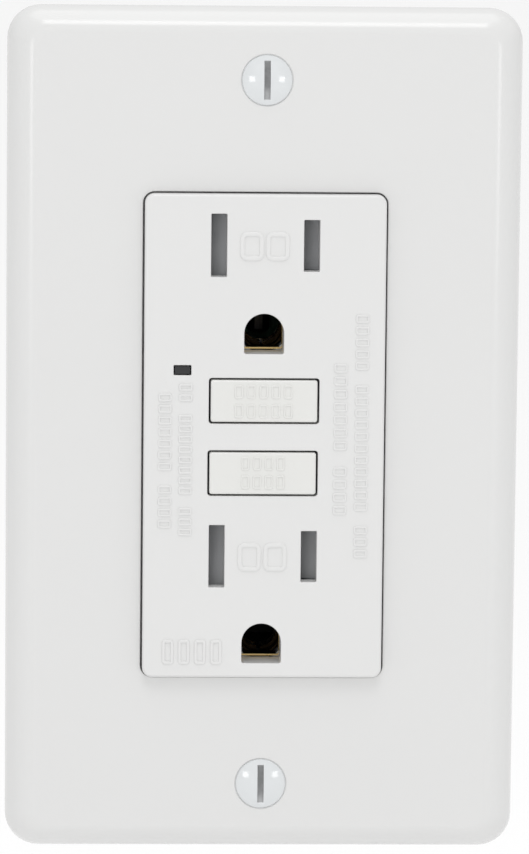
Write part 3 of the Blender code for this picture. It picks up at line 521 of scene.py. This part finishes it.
def quarter(count):
    """Pairs of (share in from the side, share up to the front) over a quarter turn."""
    turns = [step / count * math.pi / 2 for step in range(count + 1)]
    return [(1 - math.cos(turn), math.sin(turn)) for turn in turns]


def build_wall_plate():
    """The rolled cover plate with its window, countersinks and the ribs behind."""
    front = spans("wall_plate")[1][0]
    wide, _, tall = half("wall_plate")
    open_x, open_z = WINDOW_HALF
    loops = [rounded_loop(wide - 0.15, tall - 0.15, PLATE_CORNER - 0.15, 0.0)]
    loops.append(rounded_loop(wide, tall, PLATE_CORNER, -0.15))
    rise = -front - PLATE_SIDE
    for across, up in quarter(14):
        radius = PLATE_CORNER - 0.75 * ROLL_Z * across
        loops.append(rounded_loop(wide - ROLL_X * across, tall - ROLL_Z * across, radius,
                                  -PLATE_SIDE - rise * up))
    for across, up in reversed(quarter(5)):
        reach = WINDOW_EDGE * across
        loops.append(rounded_loop(open_x + reach, open_z + reach, WINDOW_CORNER + reach,
                                  front + WINDOW_EDGE * (1 - up), FACE_SHIFT))
    loops.append(rounded_loop(open_x, open_z, WINDOW_CORNER, PLATE_INNER - 0.1, FACE_SHIFT))
    loops.append(rounded_loop(open_x + 0.1, open_z + 0.1, WINDOW_CORNER, PLATE_INNER, FACE_SHIFT))
    for across, up in reversed(quarter(6)):
        inset_x, inset_z = PLATE_WALL + 1.6 * across, PLATE_WALL + 1.4 * across
        loops.append(rounded_loop(wide - inset_x, tall - inset_z, 2.4 - 0.8 * across,
                                  -2.2 + (PLATE_INNER + 2.2) * up))
    loops.append(rounded_loop(wide - PLATE_WALL, tall - PLATE_WALL, 2.4, -0.15))
    loops.append(rounded_loop(wide - PLATE_WALL + 0.15, tall - PLATE_WALL + 0.15, 2.5, 0.0))
    plate = loft("wall_plate_fine", loops, ring=True)
    for node in ("plate_screw_top", "plate_screw_bottom"):
        centre = (SCREW_SHIFT[0], middle(node)[2] + SCREW_SHIFT[1])
        boss = [(0.0, -3.9), (3.4, -3.9), (3.1, -1.6), (0.0, -1.6)]
        unite(plate, turned("boss", 1, centre, boss, edge=0.2))
        sink = [(0.0, -7.0), (SINK_RADIUS + 0.08, -7.0), (SINK_RADIUS + 0.08, front),
                (SINK_RADIUS, front + 0.1), (2.0, -4.2), (2.0, -1.0), (0.0, -1.0)]
        cut(plate, turned("sink", 1, centre, sink))
    for side in (1, -1):
        across = on_side(side, 22.4, wide - 1.5)
        for z in (-40.0, -20.0, 0.0, 20.0, 40.0):
            unite(plate, rounded_box("rib", across, (-3.8, -0.7), around(z, 0.5), edge=0.15))
    bake(plate)
    present(plate, "wall_plate", MATERIALS["plate"])


def slot_tool(*box):
    """A straight driver slot's cutter with a softly rounded floor."""
    return rounded_box("slot", *box, edge=0.12, steps=2)


def build_plate_screw(node):
    """An oval-head screw, painted white, with its slot upright and a thread behind the plate."""
    middle_x, z = SCREW_SHIFT[0], middle(node)[2] + SCREW_SHIFT[1]
    top = spans(node)[1][0]
    dome = [(0.0, top)]
    for step in range(1, 13):
        radius = (HEAD_RADIUS - 0.12) * step / 12
        dome.append((radius, top + DOME_SAG * radius ** 2))
    profile = dome + [(HEAD_RADIUS, top + 0.85), (HEAD_RADIUS - 0.05, top + 1.0), (1.75, -4.3),
                      (1.45, -4.1), (1.45, 2.5), (1.1, 3.0), (0.0, 3.0)]
    screw = turned(node + "_fine", 1, (middle_x, z), profile)
    saw_y = top + SAW_DEPTH - SAW_RADIUS
    cut(screw, cylinder("slot", 0, (saw_y, z), SAW_RADIUS, around(middle_x, SAW_HALF), 96))
    bake(screw)
    add_bevel(screw, 0.05)
    bake(screw)
    absorb(screw, [thread("thread", 1, (middle_x, z), (-3.9, 2.7), 1.45, 1.65, 0.8)])
    present(screw, node, MATERIALS["paint"])
    # The slot's faces take the darker grey: painted shade for the depth of the slot. The shank's faces take
    # zinc.
    screw.data.materials.append(MATERIALS["shade_in_slot"])
    screw.data.materials.append(MATERIALS["zinc"])
    for face in screw.data.polygons:
        x, y, height = face.center / MM
        reach = math.hypot(x - middle_x, height - z)
        surface = top + DOME_SAG * reach ** 2
        in_slot = abs(x - middle_x) < SAW_HALF + 0.01 and reach < 3.3
        if in_slot and surface + 0.09 < y < top + SAW_DEPTH + 0.1:
            face.material_index = 1
        if y > top + SHANK_START:
            face.material_index = 2


# ------------------------------
# Front cover with its raised marks
# ------------------------------

FACE_HALF = (16.4, 33.2)
FACE_CORNER = 1.3
FACE_EDGE = 0.45
FLANGE_FRONT = -3.2
MOUTH = 0.16
MARK_RISE = 0.18
WELL_HALF = (7.52, 3.13)
BUTTON_SHIFT = {"reset_button": (0.07, -0.1), "test_button": (-0.04, -0.03)}
SLOT_HALF_WIDTH = 1.075
SLOT_HALVES = {"neutral": 4.3, "hot": 3.52}
BLADE_X = {"neutral": -6.22, "hot": 6.38}
GROUND_DROP = 11.9
GROUND_RADIUS = 2.7
GROUND_FLAT = 2.8
GROUND_SINK = 0.1  # how far the face's ground holes sit below their contacts
LIP_FRONT = -1.6
LIGHT_X, LIGHT_Z = -11.07, 8.82
SCREW_CORNERS = [(side * 16.6, up * 29.9) for side in (1, -1) for up in (1, -1)]


def blade_lines():
    """The heights of the two receptacles' blade slots."""
    return [middle("shutter_top")[2], middle("shutter_bottom")[2]]


def outlined(x, z, half_x, half_z, stroke, face, rise):
    """A low raised frame: a rounded rectangle drawn with one stroke."""
    corner = 0.55 * min(half_x, half_z)
    ease = 0.2 * stroke
    loops = []
    for inset, depth in (
        (0.0, face + 0.2),
        (0.0, face - 0.5 * rise),
        (ease, face - rise),
        (stroke - ease, face - rise),
        (stroke, face - 0.5 * rise),
        (stroke, face + 0.2),
    ):
        radius = max(corner - inset, 0.06)
        loops.append(rounded_loop(half_x - inset, half_z - inset, radius, depth, (x, z), 4))
    return loft("mark", loops, ring=True)


def row_of_frames(counts, start, end, fixed, half_across, stroke, face, rise, upright):
    """Frames in groups between two places along one axis; fixed is the other coordinate."""
    total = sum(counts) + len(counts) - 1
    pitch = (end - start) / total
    frames = []
    place = start + pitch / 2
    for count in counts:
        for _ in range(count):
            reach = 0.36 * abs(pitch)
            x, z = (fixed, place) if upright else (place, fixed)
            half_x, half_z = (half_across, reach) if upright else (reach, half_across)
            frames.append(outlined(x, z, half_x, half_z, stroke, face, rise))
            place += pitch
        place += pitch
    return frames


def flared(name, loops_at):
    """A cutter whose mouth is rounded over; loops_at(grow, y) gives the outline at a depth."""
    face = spans("front_cover")[1][0]
    loops = [loops_at(MOUTH, face - 0.6)]
    for across, up in quarter(4):
        loops.append(loops_at(MOUTH * (1 - up), face + MOUTH * across))
    loops.append(loops_at(0.0, 0.0))
    return loft(name, loops)


def straight_opening(name, x, z, half_x, half_z, corner):
    """A rounded rectangular opening's cutter."""
    def loops_at(grow, y):
        return rounded_loop(half_x + grow, half_z + grow, corner + grow, y, (x, z), 4)
    return flared(name, loops_at)


def ground_outline(z, y, radius, drop):
    """The ground hole's outline at depth y: round above, flat at a drop below its middle."""
    points = [(radius * math.cos(turn), y, z + radius * math.sin(turn))
              for turn in (math.pi * step / 32 for step in range(33))]
    corner = 0.3
    for side, quadrant in ((-1, 2), (1, 3)):
        for step in range(5):
            turn = (quadrant + step / 4) * math.pi / 2
            points.append((side * (radius - corner) + corner * math.cos(turn), y,
                           z - drop + corner + corner * math.sin(turn)))
    return points


def ground_opening(name, z):
    """The ground hole's cutter."""
    def loops_at(grow, y):
        return ground_outline(z, y, GROUND_RADIUS + grow, GROUND_FLAT + grow)
    return flared(name, loops_at)


def cover_marks(face):
    """Plain raised frames where the real face has its moulded marks."""
    parts = []
    for line in blade_lines():
        for x in (-1.75, 1.75):
            parts.append(outlined(x, line - 0.1, 1.6, 1.95, 0.6, face, MARK_RISE))
    parts += row_of_frames((4,), -13.9, -5.1, -30.0, 1.7, 0.42, face, MARK_RISE, False)
    columns = (
        ((2, 8, 3), 7.2, -14.1, -10.6),
        ((7, 4), 5.9, -13.1, -13.4),
        ((4, 7), -11.2, 10.1, 10.5),
        ((3, 11, 5), -17.1, 16.8, 13.4),
    )
    for counts, start, end, x in columns:
        parts += row_of_frames(counts, start, end, x, 0.95, 0.3, face, 0.8 * MARK_RISE, True)
    return parts


def button_centre(node):
    """Where a button's middle stands on the face."""
    shift = BUTTON_SHIFT[node]
    return shift[0], middle(node)[2] + shift[1]


def build_front_cover():
    """The face with its flange and skirt in one shell, opened for blades, pins and buttons."""
    (_, wide), (face, back), (_, tall) = spans("front_cover")
    face_x, face_z = FACE_HALF
    loops = [rounded_loop(wide - 0.2, tall - 0.2, 1.8, back)]
    loops.append(rounded_loop(wide, tall, 2.0, back - 0.2))
    for across, up in quarter(4):
        loops.append(rounded_loop(wide - 0.5 * across, tall - 0.5 * across, 2.0 - 0.5 * across,
                                  FLANGE_FRONT + 0.5 * (1 - up)))
    loops.append(rounded_loop(face_x + 0.15, face_z + 0.15, FACE_CORNER, FLANGE_FRONT, FACE_SHIFT))
    loops.append(rounded_loop(face_x, face_z, FACE_CORNER, FLANGE_FRONT - 0.15, FACE_SHIFT))
    for across, up in quarter(6):
        reach = FACE_EDGE * across
        loops.append(rounded_loop(face_x - reach, face_z - reach, FACE_CORNER - reach,
                                  face + FACE_EDGE * (1 - up), FACE_SHIFT))
    outer = loft("front_cover_fine", loops)
    wall = 1.6
    hollow_loops = [
        rounded_loop(wide - wall, tall - wall, 1.0, back + 1.0),
        rounded_loop(wide - wall, tall - wall, 1.0, -1.9),
        rounded_loop(wide - wall - 0.3, tall - wall - 0.3, 0.8, -1.6),
        rounded_loop(face_x - 2.0, face_z - 2.0, 0.8, -1.6),
        rounded_loop(face_x - 2.0, face_z - 2.0, 0.8, -4.5),
        rounded_loop(face_x - 2.2, face_z - 2.2, 0.6, -4.7),
    ]
    cut(outer, loft("hollow", hollow_loops))
    unite(outer, rounded_box("guide", around(0.0, 8.9), (-5.2, -1.9), (-9.4, 9.0), edge=0.15))
    for line in blade_lines():
        unite(outer, cylinder("collar", 1, (0.0, line - GROUND_DROP), 3.9, (-5.2, -1.7)))
    for centre in SCREW_CORNERS:
        unite(outer, cylinder("boss", 1, centre, 2.3, (-2.1, back - 0.3)))
        cut(outer, cylinder("bore", 1, centre, 1.5, (0.4, back + 1)))
    for up in (1, -1):
        rim = on_side(up, tall - wall - 0.5, tall + 1)
        cut(outer, rounded_box("notch", around(0.0, 13.9), (-1.6, back + 2), rim))
    for line in blade_lines():
        for pole, reach in SLOT_HALVES.items():
            cut(outer, straight_opening("slot", BLADE_X[pole], line, SLOT_HALF_WIDTH, reach, 0.12))
        cut(outer, ground_opening("ground", line - GROUND_DROP - GROUND_SINK))
    for node in ("reset_button", "test_button"):
        cut(outer, straight_opening("well", *button_centre(node), *WELL_HALF, 0.4))
    cut(outer, straight_opening("window", LIGHT_X, LIGHT_Z, 1.2, 0.68, 0.12))
    bake(outer)
    absorb(outer, cover_marks(face))
    present(outer, "front_cover", MATERIALS["face"])


# ------------------------------
# Buttons and indicator
# ------------------------------

BUTTON_TOP = -7.38
BUTTON_HALF = (7.27, 2.88)
BUTTON_EDGE = 0.32


def button_cap(node):
    """A push button's cap: crisp bevelled rim, flat top for two rows of plain frames."""
    centre = button_centre(node)
    back = -4.2
    wide, tall = BUTTON_HALF
    loops = [rounded_loop(wide - 0.1, tall - 0.1, 0.25, back, centre, 5)]
    loops.append(rounded_loop(wide, tall, 0.32, back - 0.1, centre, 5))
    for across, up in quarter(5):
        reach = BUTTON_EDGE * across
        depth = BUTTON_TOP + BUTTON_EDGE * (1 - up)
        loops.append(rounded_loop(wide - reach, tall - reach, 0.34, depth, centre, 5))
    return loft(node + "_fine", loops)


def button_marks(node, count, reach, rows):
    """Two rows of plain raised frames."""
    rise = BUTTON_TOP - spans(node)[1][0]
    parts = []
    for offset in rows:
        z = middle(node)[2] + offset
        parts += row_of_frames((count,), -reach, reach, z, 0.95, 0.26, BUTTON_TOP, rise, False)
    return parts


def build_reset_button():
    """The reset button, bored from behind for its pin."""
    button = button_cap("reset_button")
    z = middle("reset_button")[2]
    cut(button, cylinder("bore", 1, (0.0, z), 1.3, (-6.0, -3.0)))
    bake(button)
    absorb(button, button_marks("reset_button", 5, 4.2, (1.2, -1.45)))
    present(button, "reset_button", MATERIALS["button"])


def build_test_button():
    """The test button with the stem that reaches the test leaf."""
    button = button_cap("test_button")
    z = middle("test_button")[2]
    back = spans("test_button")[1][1]
    stem = [(0.0, -5.0), (1.0, -5.0), (1.0, back), (0.0, back)]
    unite(button, turned("stem", 1, (0.0, z), stem, edge=0.25))
    bake(button)
    absorb(button, button_marks("test_button", 4, 3.2, (1.35, -1.2)))
    present(button, "test_button", MATERIALS["button"])


def build_light_pipe():
    """The smoked window and the rod behind it, in one smoked piece."""
    front, back = spans("light_pipe")[1]
    window = around(LIGHT_X, 1.07), (front, -4.3), around(LIGHT_Z, 0.55)
    lens = rounded_box("light_pipe_fine", *window, edge=0.12)
    rod = [(0.0, -5.0), (0.5, -5.0), (0.5, back), (0.0, back)]
    unite(lens, turned("rod", 1, (-11.4, LIGHT_Z), rod, edge=0.1, steps=24))
    bake(lens)
    present(lens, "light_pipe", MATERIALS["window"])


# ------------------------------
# Strap, box screws and ground contacts
# ------------------------------

def flat_hole(name, centre, half_x, half_z, corner, y):
    """A rounded rectangular hole's cutter through a plate parallel to the wall."""
    return loft(name, [rounded_loop(half_x, half_z, corner, depth, centre, 6) for depth in y])


def build_mounting_strap():
    """The stamped steel strap with its ears, windows, screw slots and bent ground tab."""
    (_, wide), (_, tab_back), (_, tall) = spans("mounting_strap")
    front, back = -1.3, 0.0
    ear_z = 44.3
    strap = slab("mounting_strap_fine", (0.0, 0.0), 13.6, 36.4, (front, back), 0.3, 0.12)
    for up in (1, -1):
        unite(strap, slab("ear", (0.0, up * ear_z), wide, tall - ear_z, (front, back), 3.0, 0.12))
    _, clamp_y, clamp_z = middle("ground_clamp")
    tab = slab("tab", (0.0, 0.0), tab_back + 0.6, 4.8, (-0.6, 0.6), 1.2, 0.1)
    tab.data.transform(Matrix.Rotation(-math.pi / 2, 4, "Z"))
    tab.data.transform(Matrix.Translation(Vector((-14.6, 0.0, clamp_z)) * MM))
    cut(tab, rounded_box("trim", (-17.0, -12.0), (-30.0, front + 0.25), around(clamp_z, 8.0), edge=0.0))
    bake(tab)
    unite(strap, tab)
    cut(strap, cylinder("tab_hole", 0, (clamp_y, clamp_z), 2.25, (-17.0, -12.0)))
    through = (front - 1, back + 1)
    for name in ("top", "bottom"):
        line = middle("shutter_" + name)[2]
        cut(strap, flat_hole("blades", (0.0, line), 9.0, 5.4, 1.0, through))
        cut(strap, cylinder("pin", 1, (0.0, line - GROUND_DROP), 3.4, through))
        cut(strap, flat_hole("box_slot", (0.0, middle("box_screw_" + name)[2]), 3.75, 2.1, 2.05, through))
        cut(strap, cylinder("thread", 1, (0.0, middle("plate_screw_" + name)[2]), 1.85, through))
    cut(strap, flat_hole("buttons", (0.0, -0.3), 8.2, 8.9, 1.0, through))
    cut(strap, flat_hole("light", (-11.3, LIGHT_Z), 1.2, 1.1, 0.4, through))
    bake(strap)
    present(strap, "mounting_strap", MATERIALS["zinc"])


def build_box_screw(node):
    """The long machine screw that holds the strap to the wall box."""
    z = middle(node)[2]
    profile = [(0.0, -3.25), (1.2, -3.2), (2.4, -3.05), (3.3, -2.65), (3.6, -2.35), (3.6, -1.6),
               (1.45, -1.6), (1.45, 21.3), (1.1, 22.0), (0.0, 22.0)]
    screw = turned(node + "_fine", 1, (0.0, z), softened(profile, 0.12))
    cut(screw, slot_tool(around(0.0, 4.5), (-4.0, -2.35), around(z, 0.5)))
    cut(screw, slot_tool(around(0.0, 0.45), (-4.0, -2.1), around(z, 1.7)))
    bake(screw)
    absorb(screw, [thread("thread", 1, (0.0, z), (-1.3, 21.6), 1.45, 1.7, 0.8)])
    present(screw, node, MATERIALS["zinc"])


def build_ground_contact(node):
    """The brass sleeve that grips the ground pin, with rolled lips and slits."""
    x, _, z = middle(node)
    front, back = spans(node)[1]
    section = [(3.1, back), (3.1, 1.0), (4.6, 1.0), (4.6, front), (2.5, front), (2.5, back)]
    contact = turned(node + "_fine", 1, (x, z), section, edge=0.15, ring=True)
    outer = [ground_outline(z, y, GROUND_RADIUS - 0.03, GROUND_FLAT - 0.03) for y in (LIP_FRONT, 0.9)]
    unite(contact, loft("lip", outer))
    inner = [ground_outline(z, y, GROUND_RADIUS - 0.06, GROUND_FLAT - 0.25) for y in (LIP_FRONT - 1, 1.3)]
    cut(contact, loft("throat", inner))
    cut(contact, cylinder("sleeve", 1, (x, z), 2.9, (0.0, 4.0)))
    for half_x, half_z in ((3.4, 0.25), (0.25, 3.4)):
        cut(contact, rounded_box("slit", around(x, half_x), (3.4, back + 1), around(z, half_z), edge=0.1))
    bake(contact)
    present(contact, node, MATERIALS["brass"])
    # Faces in the throat, from halfway along the lip to 4.5 mm deep, get the near-black brass: painted
    # shade inside the hole.
    contact.data.materials.append(MATERIALS["brass_painted_shade"])
    for face in contact.data.polygons:
        face.material_index = int(0.5 * LIP_FRONT < face.center.y / MM < 4.5)


# ------------------------------
# Springs
# ------------------------------

def build_spring(node, axis, radius, wire, turns, fixed_end):
    """A coil spring filling its node's span along an axis."""
    centre = middle(node)
    span = spans(node)[axis]
    across = [centre[number] for number in range(3) if number != axis]
    spring = coil(node + "_fine", axis, across, span, radius, wire, turns)
    present(spring, node, MATERIALS["spring"])
    anchor = [value * MM for value in centre]
    anchor[axis] = span[fixed_end] * MM
    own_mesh(spring)


# ------------------------------
# Rear housing and its screws
# ------------------------------

HOUSING_WALL = 1.8
HOUSING_FLOOR = 25.2
SEAM = 0.22  # how far the housing's rim comes forward to meet the cover
TERMINALS = ("hot_load", "hot_line", "neutral_load", "neutral_line")


def side_of(node):
    """1 for a node right of the middle, -1 for one left of it."""
    return 1 if middle(node)[0] > 0 else -1


def build_rear_housing():
    """The deep rear shell: rounded back, terminal recesses, wire holes, counterbores and ribs."""
    (_, wide), (front, back), (_, tall) = spans("rear_housing")
    front -= SEAM
    loops = [rounded_loop(wide - 0.2, tall - 0.2, 1.8, front)]
    loops.append(rounded_loop(wide, tall, 2.0, front + 0.2))
    for across, up in quarter(6):
        reach = 1.1 * across
        loops.append(rounded_loop(wide - reach, tall - reach, 2.0 - 0.9 * across,
                                  back - 0.35 - 1.1 * (1 - up)))
    housing = loft("rear_housing_fine", loops)
    inner_x, inner_z = wide - HOUSING_WALL, tall - HOUSING_WALL
    hollow = [rounded_loop(inner_x, inner_z, 1.0, depth) for depth in (front - 1, HOUSING_FLOOR - 0.4)]
    hollow.append(rounded_loop(inner_x - 0.4, inner_z - 0.4, 0.8, HOUSING_FLOOR - 0.35))
    cut(housing, loft("hollow", hollow))
    solid = (front + 0.05, back - 0.9)
    for side in (1, -1):
        for up in (1, -1):
            post = on_side(side, 13.4, 19.8), solid, on_side(up, 26.9, 33.3)
            unite(housing, rounded_box("post", *post, edge=0.3))
    for name in TERMINALS:
        _, _, z = middle(name + "_screw")
        walls = on_side(side_of(name + "_screw"), 15.0, 20.1), solid, around(z, 6.9)
        unite(housing, rounded_box("walls", *walls, edge=0.2))
    raised = (back - 1.0, back)
    for side in (1, -1):
        unite(housing, rounded_box("rail", around(side * 12.6, 0.5), raised, around(0.0, 25.0), edge=0.2))
    for z in (-25.0, 0.0, 25.0):
        unite(housing, rounded_box("rib", around(0.0, 12.6), raised, around(z, 0.5), edge=0.2))
    for name in TERMINALS:
        cut_terminal(housing, name, front, back)
    mouth = [(0.0, 24.6), (2.7, 24.6), (2.7, back - 0.55), (3.1, back - 0.2), (3.1, back + 1),
             (0.0, back + 1)]
    for centre in SCREW_CORNERS:
        cut(housing, cylinder("post_hole", 1, centre, 1.5, (front - 1, back), 24))
        cut(housing, turned("counterbore", 1, centre, mouth))
    bake(housing)
    present(housing, "rear_housing", MATERIALS["housing"])


def cut_terminal(housing, name, front, back):
    """Cut a terminal's recess with its screw way, tail way and two flared wire holes."""
    side = side_of(name + "_screw")
    _, y, z = middle(name + "_screw")
    recess = on_side(side, 16.4, 22.0), (front - 1, 19.6), around(z, 5.5)
    cut(housing, rounded_box("recess", *recess, edge=0.25))
    cut(housing, cylinder("screw_way", 0, (y, z), 2.5, on_side(side, 13.0, 17.5), 32))
    depth = (10.1, 11.1) if name.endswith("load") else (17.5, 18.5)
    tail = math.copysign(20.6, z)
    cut(housing, rounded_box("tail_way", on_side(side, 13.0, 17.2), depth, around(tail, 2.0), edge=0.0))
    hole = [(0.0, 18.5), (1.4, 18.5), (1.4, back - 1.0), (1.75, back - 0.3), (1.75, back + 1),
            (0.0, back + 1)]
    for step in (-3.6, 3.6):
        cut(housing, turned("wire_hole", 1, (side * 18.9, z + step), hole, steps=24))


def build_housing_screw(node):
    """A long self-tapping screw with a cross recess, seen from the back."""
    x, _, z = middle(node)
    near, far = spans(node)[1]
    profile = [(0.0, near), (0.25, near), (0.95, near + 1.6), (0.95, 25.0), (2.3, 25.0), (2.3, 25.9),
               (2.0, 26.45), (1.2, far - 0.1), (0.0, far)]
    screw = turned(node + "_fine", 1, (x, z), softened(profile, 0.1), steps=32)
    for half_x, half_z in ((1.5, 0.3), (0.3, 1.5)):
        arm = around(x, half_x), (25.6, far + 1), around(z, half_z)
        cut(screw, rounded_box("cross", *arm, edge=0.08, steps=1))
    bake(screw)
    absorb(screw, [thread("thread", 1, (x, z), (near + 1.5, near + 12.0), 0.95, 1.2, 1.1)])
    present(screw, node, MATERIALS["zinc"])


# ------------------------------
# Terminals
# ------------------------------

def build_clamp(node, material):
    """A clamp plate with eased corners, a pierced hole and grip ridges on its inner face."""
    low, high = spans(node)[0]
    _, y, z = middle(node)
    _, half_y, half_z = half(node)
    side = side_of(node)
    plate = slab(node + "_fine", (0.0, 0.0), half_y, half_z, (-0.5, 0.5), 0.9, 0.12)
    plate.data.transform(Matrix.Rotation(math.pi / 2, 4, "Z"))
    inner, outer = (low, high) if side > 0 else (high, low)
    plate.data.transform(Matrix.Translation(Vector((outer - side * 0.5, y, z)) * MM))
    across = tuple(sorted((inner, outer - side * 0.6)))
    for step in range(-3, 4):
        ridge = across, around(y + step * 1.05, 0.25), around(z, half_z - 0.6)
        unite(plate, rounded_box("ridge", *ridge, edge=0.1, steps=2))
    cut(plate, cylinder("hole", 0, (y, z), 2.35, (low - 1, high + 1)))
    bake(plate)
    present(plate, node, material)


def build_terminal_screw(node, material):
    """A wide-headed terminal screw with a slot and a thread."""
    low, high = spans(node)[0]
    _, y, z = middle(node)
    side = side_of(node)
    end, top = (low, high) if side > 0 else (-high, -low)
    seat = top - 2.5
    profile = [(0.0, top), (2.0, top - 0.1), (3.3, top - 0.6), (3.9, top - 1.3), (3.9, seat + 0.15),
               (3.75, seat), (1.7, seat), (1.7, end + 0.5), (1.3, end), (0.0, end)]
    profile = [(radius, side * distance) for radius, distance in softened(profile, 0.15)]
    screw = turned(node + "_fine", 0, (y, z), profile)
    cut(screw, slot_tool(on_side(side, top - 1.2, top + 1), around(y, 0.55), around(z, 5.0)))
    bake(screw)
    absorb(screw, [thread("thread", 0, (y, z), on_side(side, end + 0.3, seat - 0.1), 1.7, 1.95, 0.79)])
    present(screw, node, material)


# ------------------------------
# Everything
# ------------------------------

CARRIED = {
    "reset_pin": "steel",
    "shutter_top": "shutter",
    "shutter_bottom": "shutter",
    "shutter_guide_top": "inner",
    "shutter_guide_bottom": "inner",
    "mid_frame": "inner",
    "hot_contact": "brass",
    "neutral_contact": "brass",
    "hot_line_bar": "copper",
    "neutral_line_bar": "copper",
    "contact_arm_hot": "copper",
    "contact_arm_neutral": "copper",
    "carriage": "black",
    "latch_plate": "steel",
    "test_leaf": "spring",
    "solenoid_bobbin": "black",
    "solenoid_winding": "winding",
    "plunger": "oxide",
    "circuit_board": "board",
    "sensor_housing": "black",
    "differential_coil": "toroid",
    "neutral_fault_coil": "toroid",
    "varistor": "varistor",
    "controller_chip": "black",
    "status_led": "clear",
    "hot_load_terminal": "brass",
    "hot_line_terminal": "brass",
    "neutral_load_terminal": "silver",
    "neutral_line_terminal": "silver",
}


def build_pieces():
    """Build every fine piece and finish the nodes that keep their own shape."""
    build_wall_plate()
    build_front_cover()
    build_reset_button()
    build_test_button()
    build_light_pipe()
    build_mounting_strap()
    build_rear_housing()
    for name in ("top", "bottom"):
        build_plate_screw("plate_screw_" + name)
        build_box_screw("box_screw_" + name)
        build_ground_contact("ground_contact_" + name)
        build_spring("shutter_spring_" + name, 0, 0.36, 0.12, 22, 1)
    build_spring("reset_spring", 1, 2.2, 0.25, 5, 1)
    build_spring("plunger_spring", 2, 2.05, 0.18, 4, 0)
    for number in range(1, 5):
        build_housing_screw(f"housing_screw_{number}")
    for name in TERMINALS:
        material = MATERIALS["brass" if name.startswith("hot") else "silver"]
        build_clamp(name + "_clamp", material)
        build_terminal_screw(name + "_screw", material)
    build_clamp("ground_clamp", MATERIALS["zinc"])
    build_terminal_screw("ground_screw", MATERIALS["green"])
    for node, finish_name in CARRIED.items():
        carry_over(node, MATERIALS[finish_name])


# ------------------------------
# Studio
# ------------------------------

CAMERA_PLACE = (-26.06, -682.08, 88.55)
CAMERA_FORWARD = (0.0385, 0.991, -0.1284)
CAMERA_UP = (-0.005, 0.1287, 0.9917)
CAMERA_LENS = 210.8
FLOOR_Z = -100.0
FLOOR_HALF = 9000.0
SURROUND = 0.76
SEEN_GAIN = 0.17
SUN_STRENGTH = 0.76
SUN_ANGLE = 60.0
SOFTBOXES = (  # name, place, target, width, height, power
    ("strip_above", (0.0, -420.0, 620.0), (0.0, 0.0, 30.0), 320.0, 250.0, 0.95),
    ("lamp_left", (-336.0, -726.0, 30.0), (0.0, 0.0, 0.0), 130.0, 130.0, 0.22),
    ("lamp_right", (378.0, -705.0, 30.0), (0.0, 0.0, 0.0), 130.0, 130.0, 0.22),
    ("front_fill", (0.0, -1100.0, 260.0), (0.0, 0.0, 0.0), 900.0, 600.0, 0.42),
)


def look(place, forward, up=(0.0, 0.0, 1.0)):
    """The matrix of a camera or lamp at a place, looking forward."""
    back = -Vector(forward).normalized()
    right = Vector(up).cross(back).normalized()
    above = back.cross(right)
    matrix = Matrix((right, above, back)).transposed().to_4x4()
    matrix.translation = Vector(place) * MM
    return matrix


def add_camera():
    """The camera at the photograph's viewing angle."""
    data = bpy.data.cameras.new("camera")
    data.lens = CAMERA_LENS
    data.clip_start = 0.01
    data.clip_end = 50.0
    camera = bpy.data.objects.new("camera", data)
    bpy.context.scene.collection.objects.link(camera)
    camera.matrix_world = look(CAMERA_PLACE, CAMERA_FORWARD, CAMERA_UP)
    bpy.context.scene.camera = camera


def add_softbox(name, place, target, width, height, power):
    """A rectangular area light aimed at a target, sizes in millimetres and power in watts."""
    data = bpy.data.lights.new(name, "AREA")
    data.shape = "RECTANGLE"
    data.size = width * MM
    data.size_y = height * MM
    data.energy = power
    lamp = bpy.data.objects.new(name, data)
    bpy.context.scene.collection.objects.link(lamp)
    lamp.matrix_world = look(place, Vector(target) - Vector(place))
    lamp.visible_camera = False


def add_surround():
    """An even white surround, seen a little brighter than it lights, so it meets the floor."""
    world = bpy.data.worlds.new("surround")
    world.use_nodes = True
    nodes, links = world.node_tree.nodes, world.node_tree.links
    rays = nodes.new("ShaderNodeLightPath")
    strength = nodes.new("ShaderNodeMath")
    strength.operation = "MULTIPLY_ADD"
    links.new(rays.outputs["Is Camera Ray"], strength.inputs[0])
    strength.inputs[1].default_value = SEEN_GAIN
    strength.inputs[2].default_value = SURROUND
    nodes["Background"].inputs["Color"].default_value = (1.0, 1.0, 1.0, 1.0)
    links.new(strength.outputs[0], nodes["Background"].inputs["Strength"])
    bpy.context.scene.world = world


def add_sun():
    """A wide soft sun overhead, which evens out the floor."""
    data = bpy.data.lights.new("overhead", "SUN")
    data.energy = SUN_STRENGTH
    data.angle = math.radians(SUN_ANGLE)
    bpy.context.scene.collection.objects.link(bpy.data.objects.new("overhead", data))


def add_floor():
    """A wide pale floor below the outlet."""
    shape = bmesh.new()
    bmesh.ops.create_grid(shape, x_segments=2, y_segments=2, size=FLOOR_HALF)
    bmesh.ops.translate(shape, vec=(0.0, 0.0, FLOOR_Z), verts=shape.verts)
    floor = add_object("floor", shape)
    pale = finish("pale_floor", (0.93, 0.93, 0.93), 0.9, drift=0.004, patch=2.0, grain=60.0)
    floor.data.materials.append(pale)


def add_studio():
    """The floor, the white surround, soft lamps above, in front and to both sides, and a soft sun."""
    add_floor()
    add_surround()
    for softbox in SOFTBOXES:
        add_softbox(*softbox)
    add_sun()
    bpy.context.scene.view_settings.view_transform = "Standard"


build_pieces()
add_camera()
add_studio()
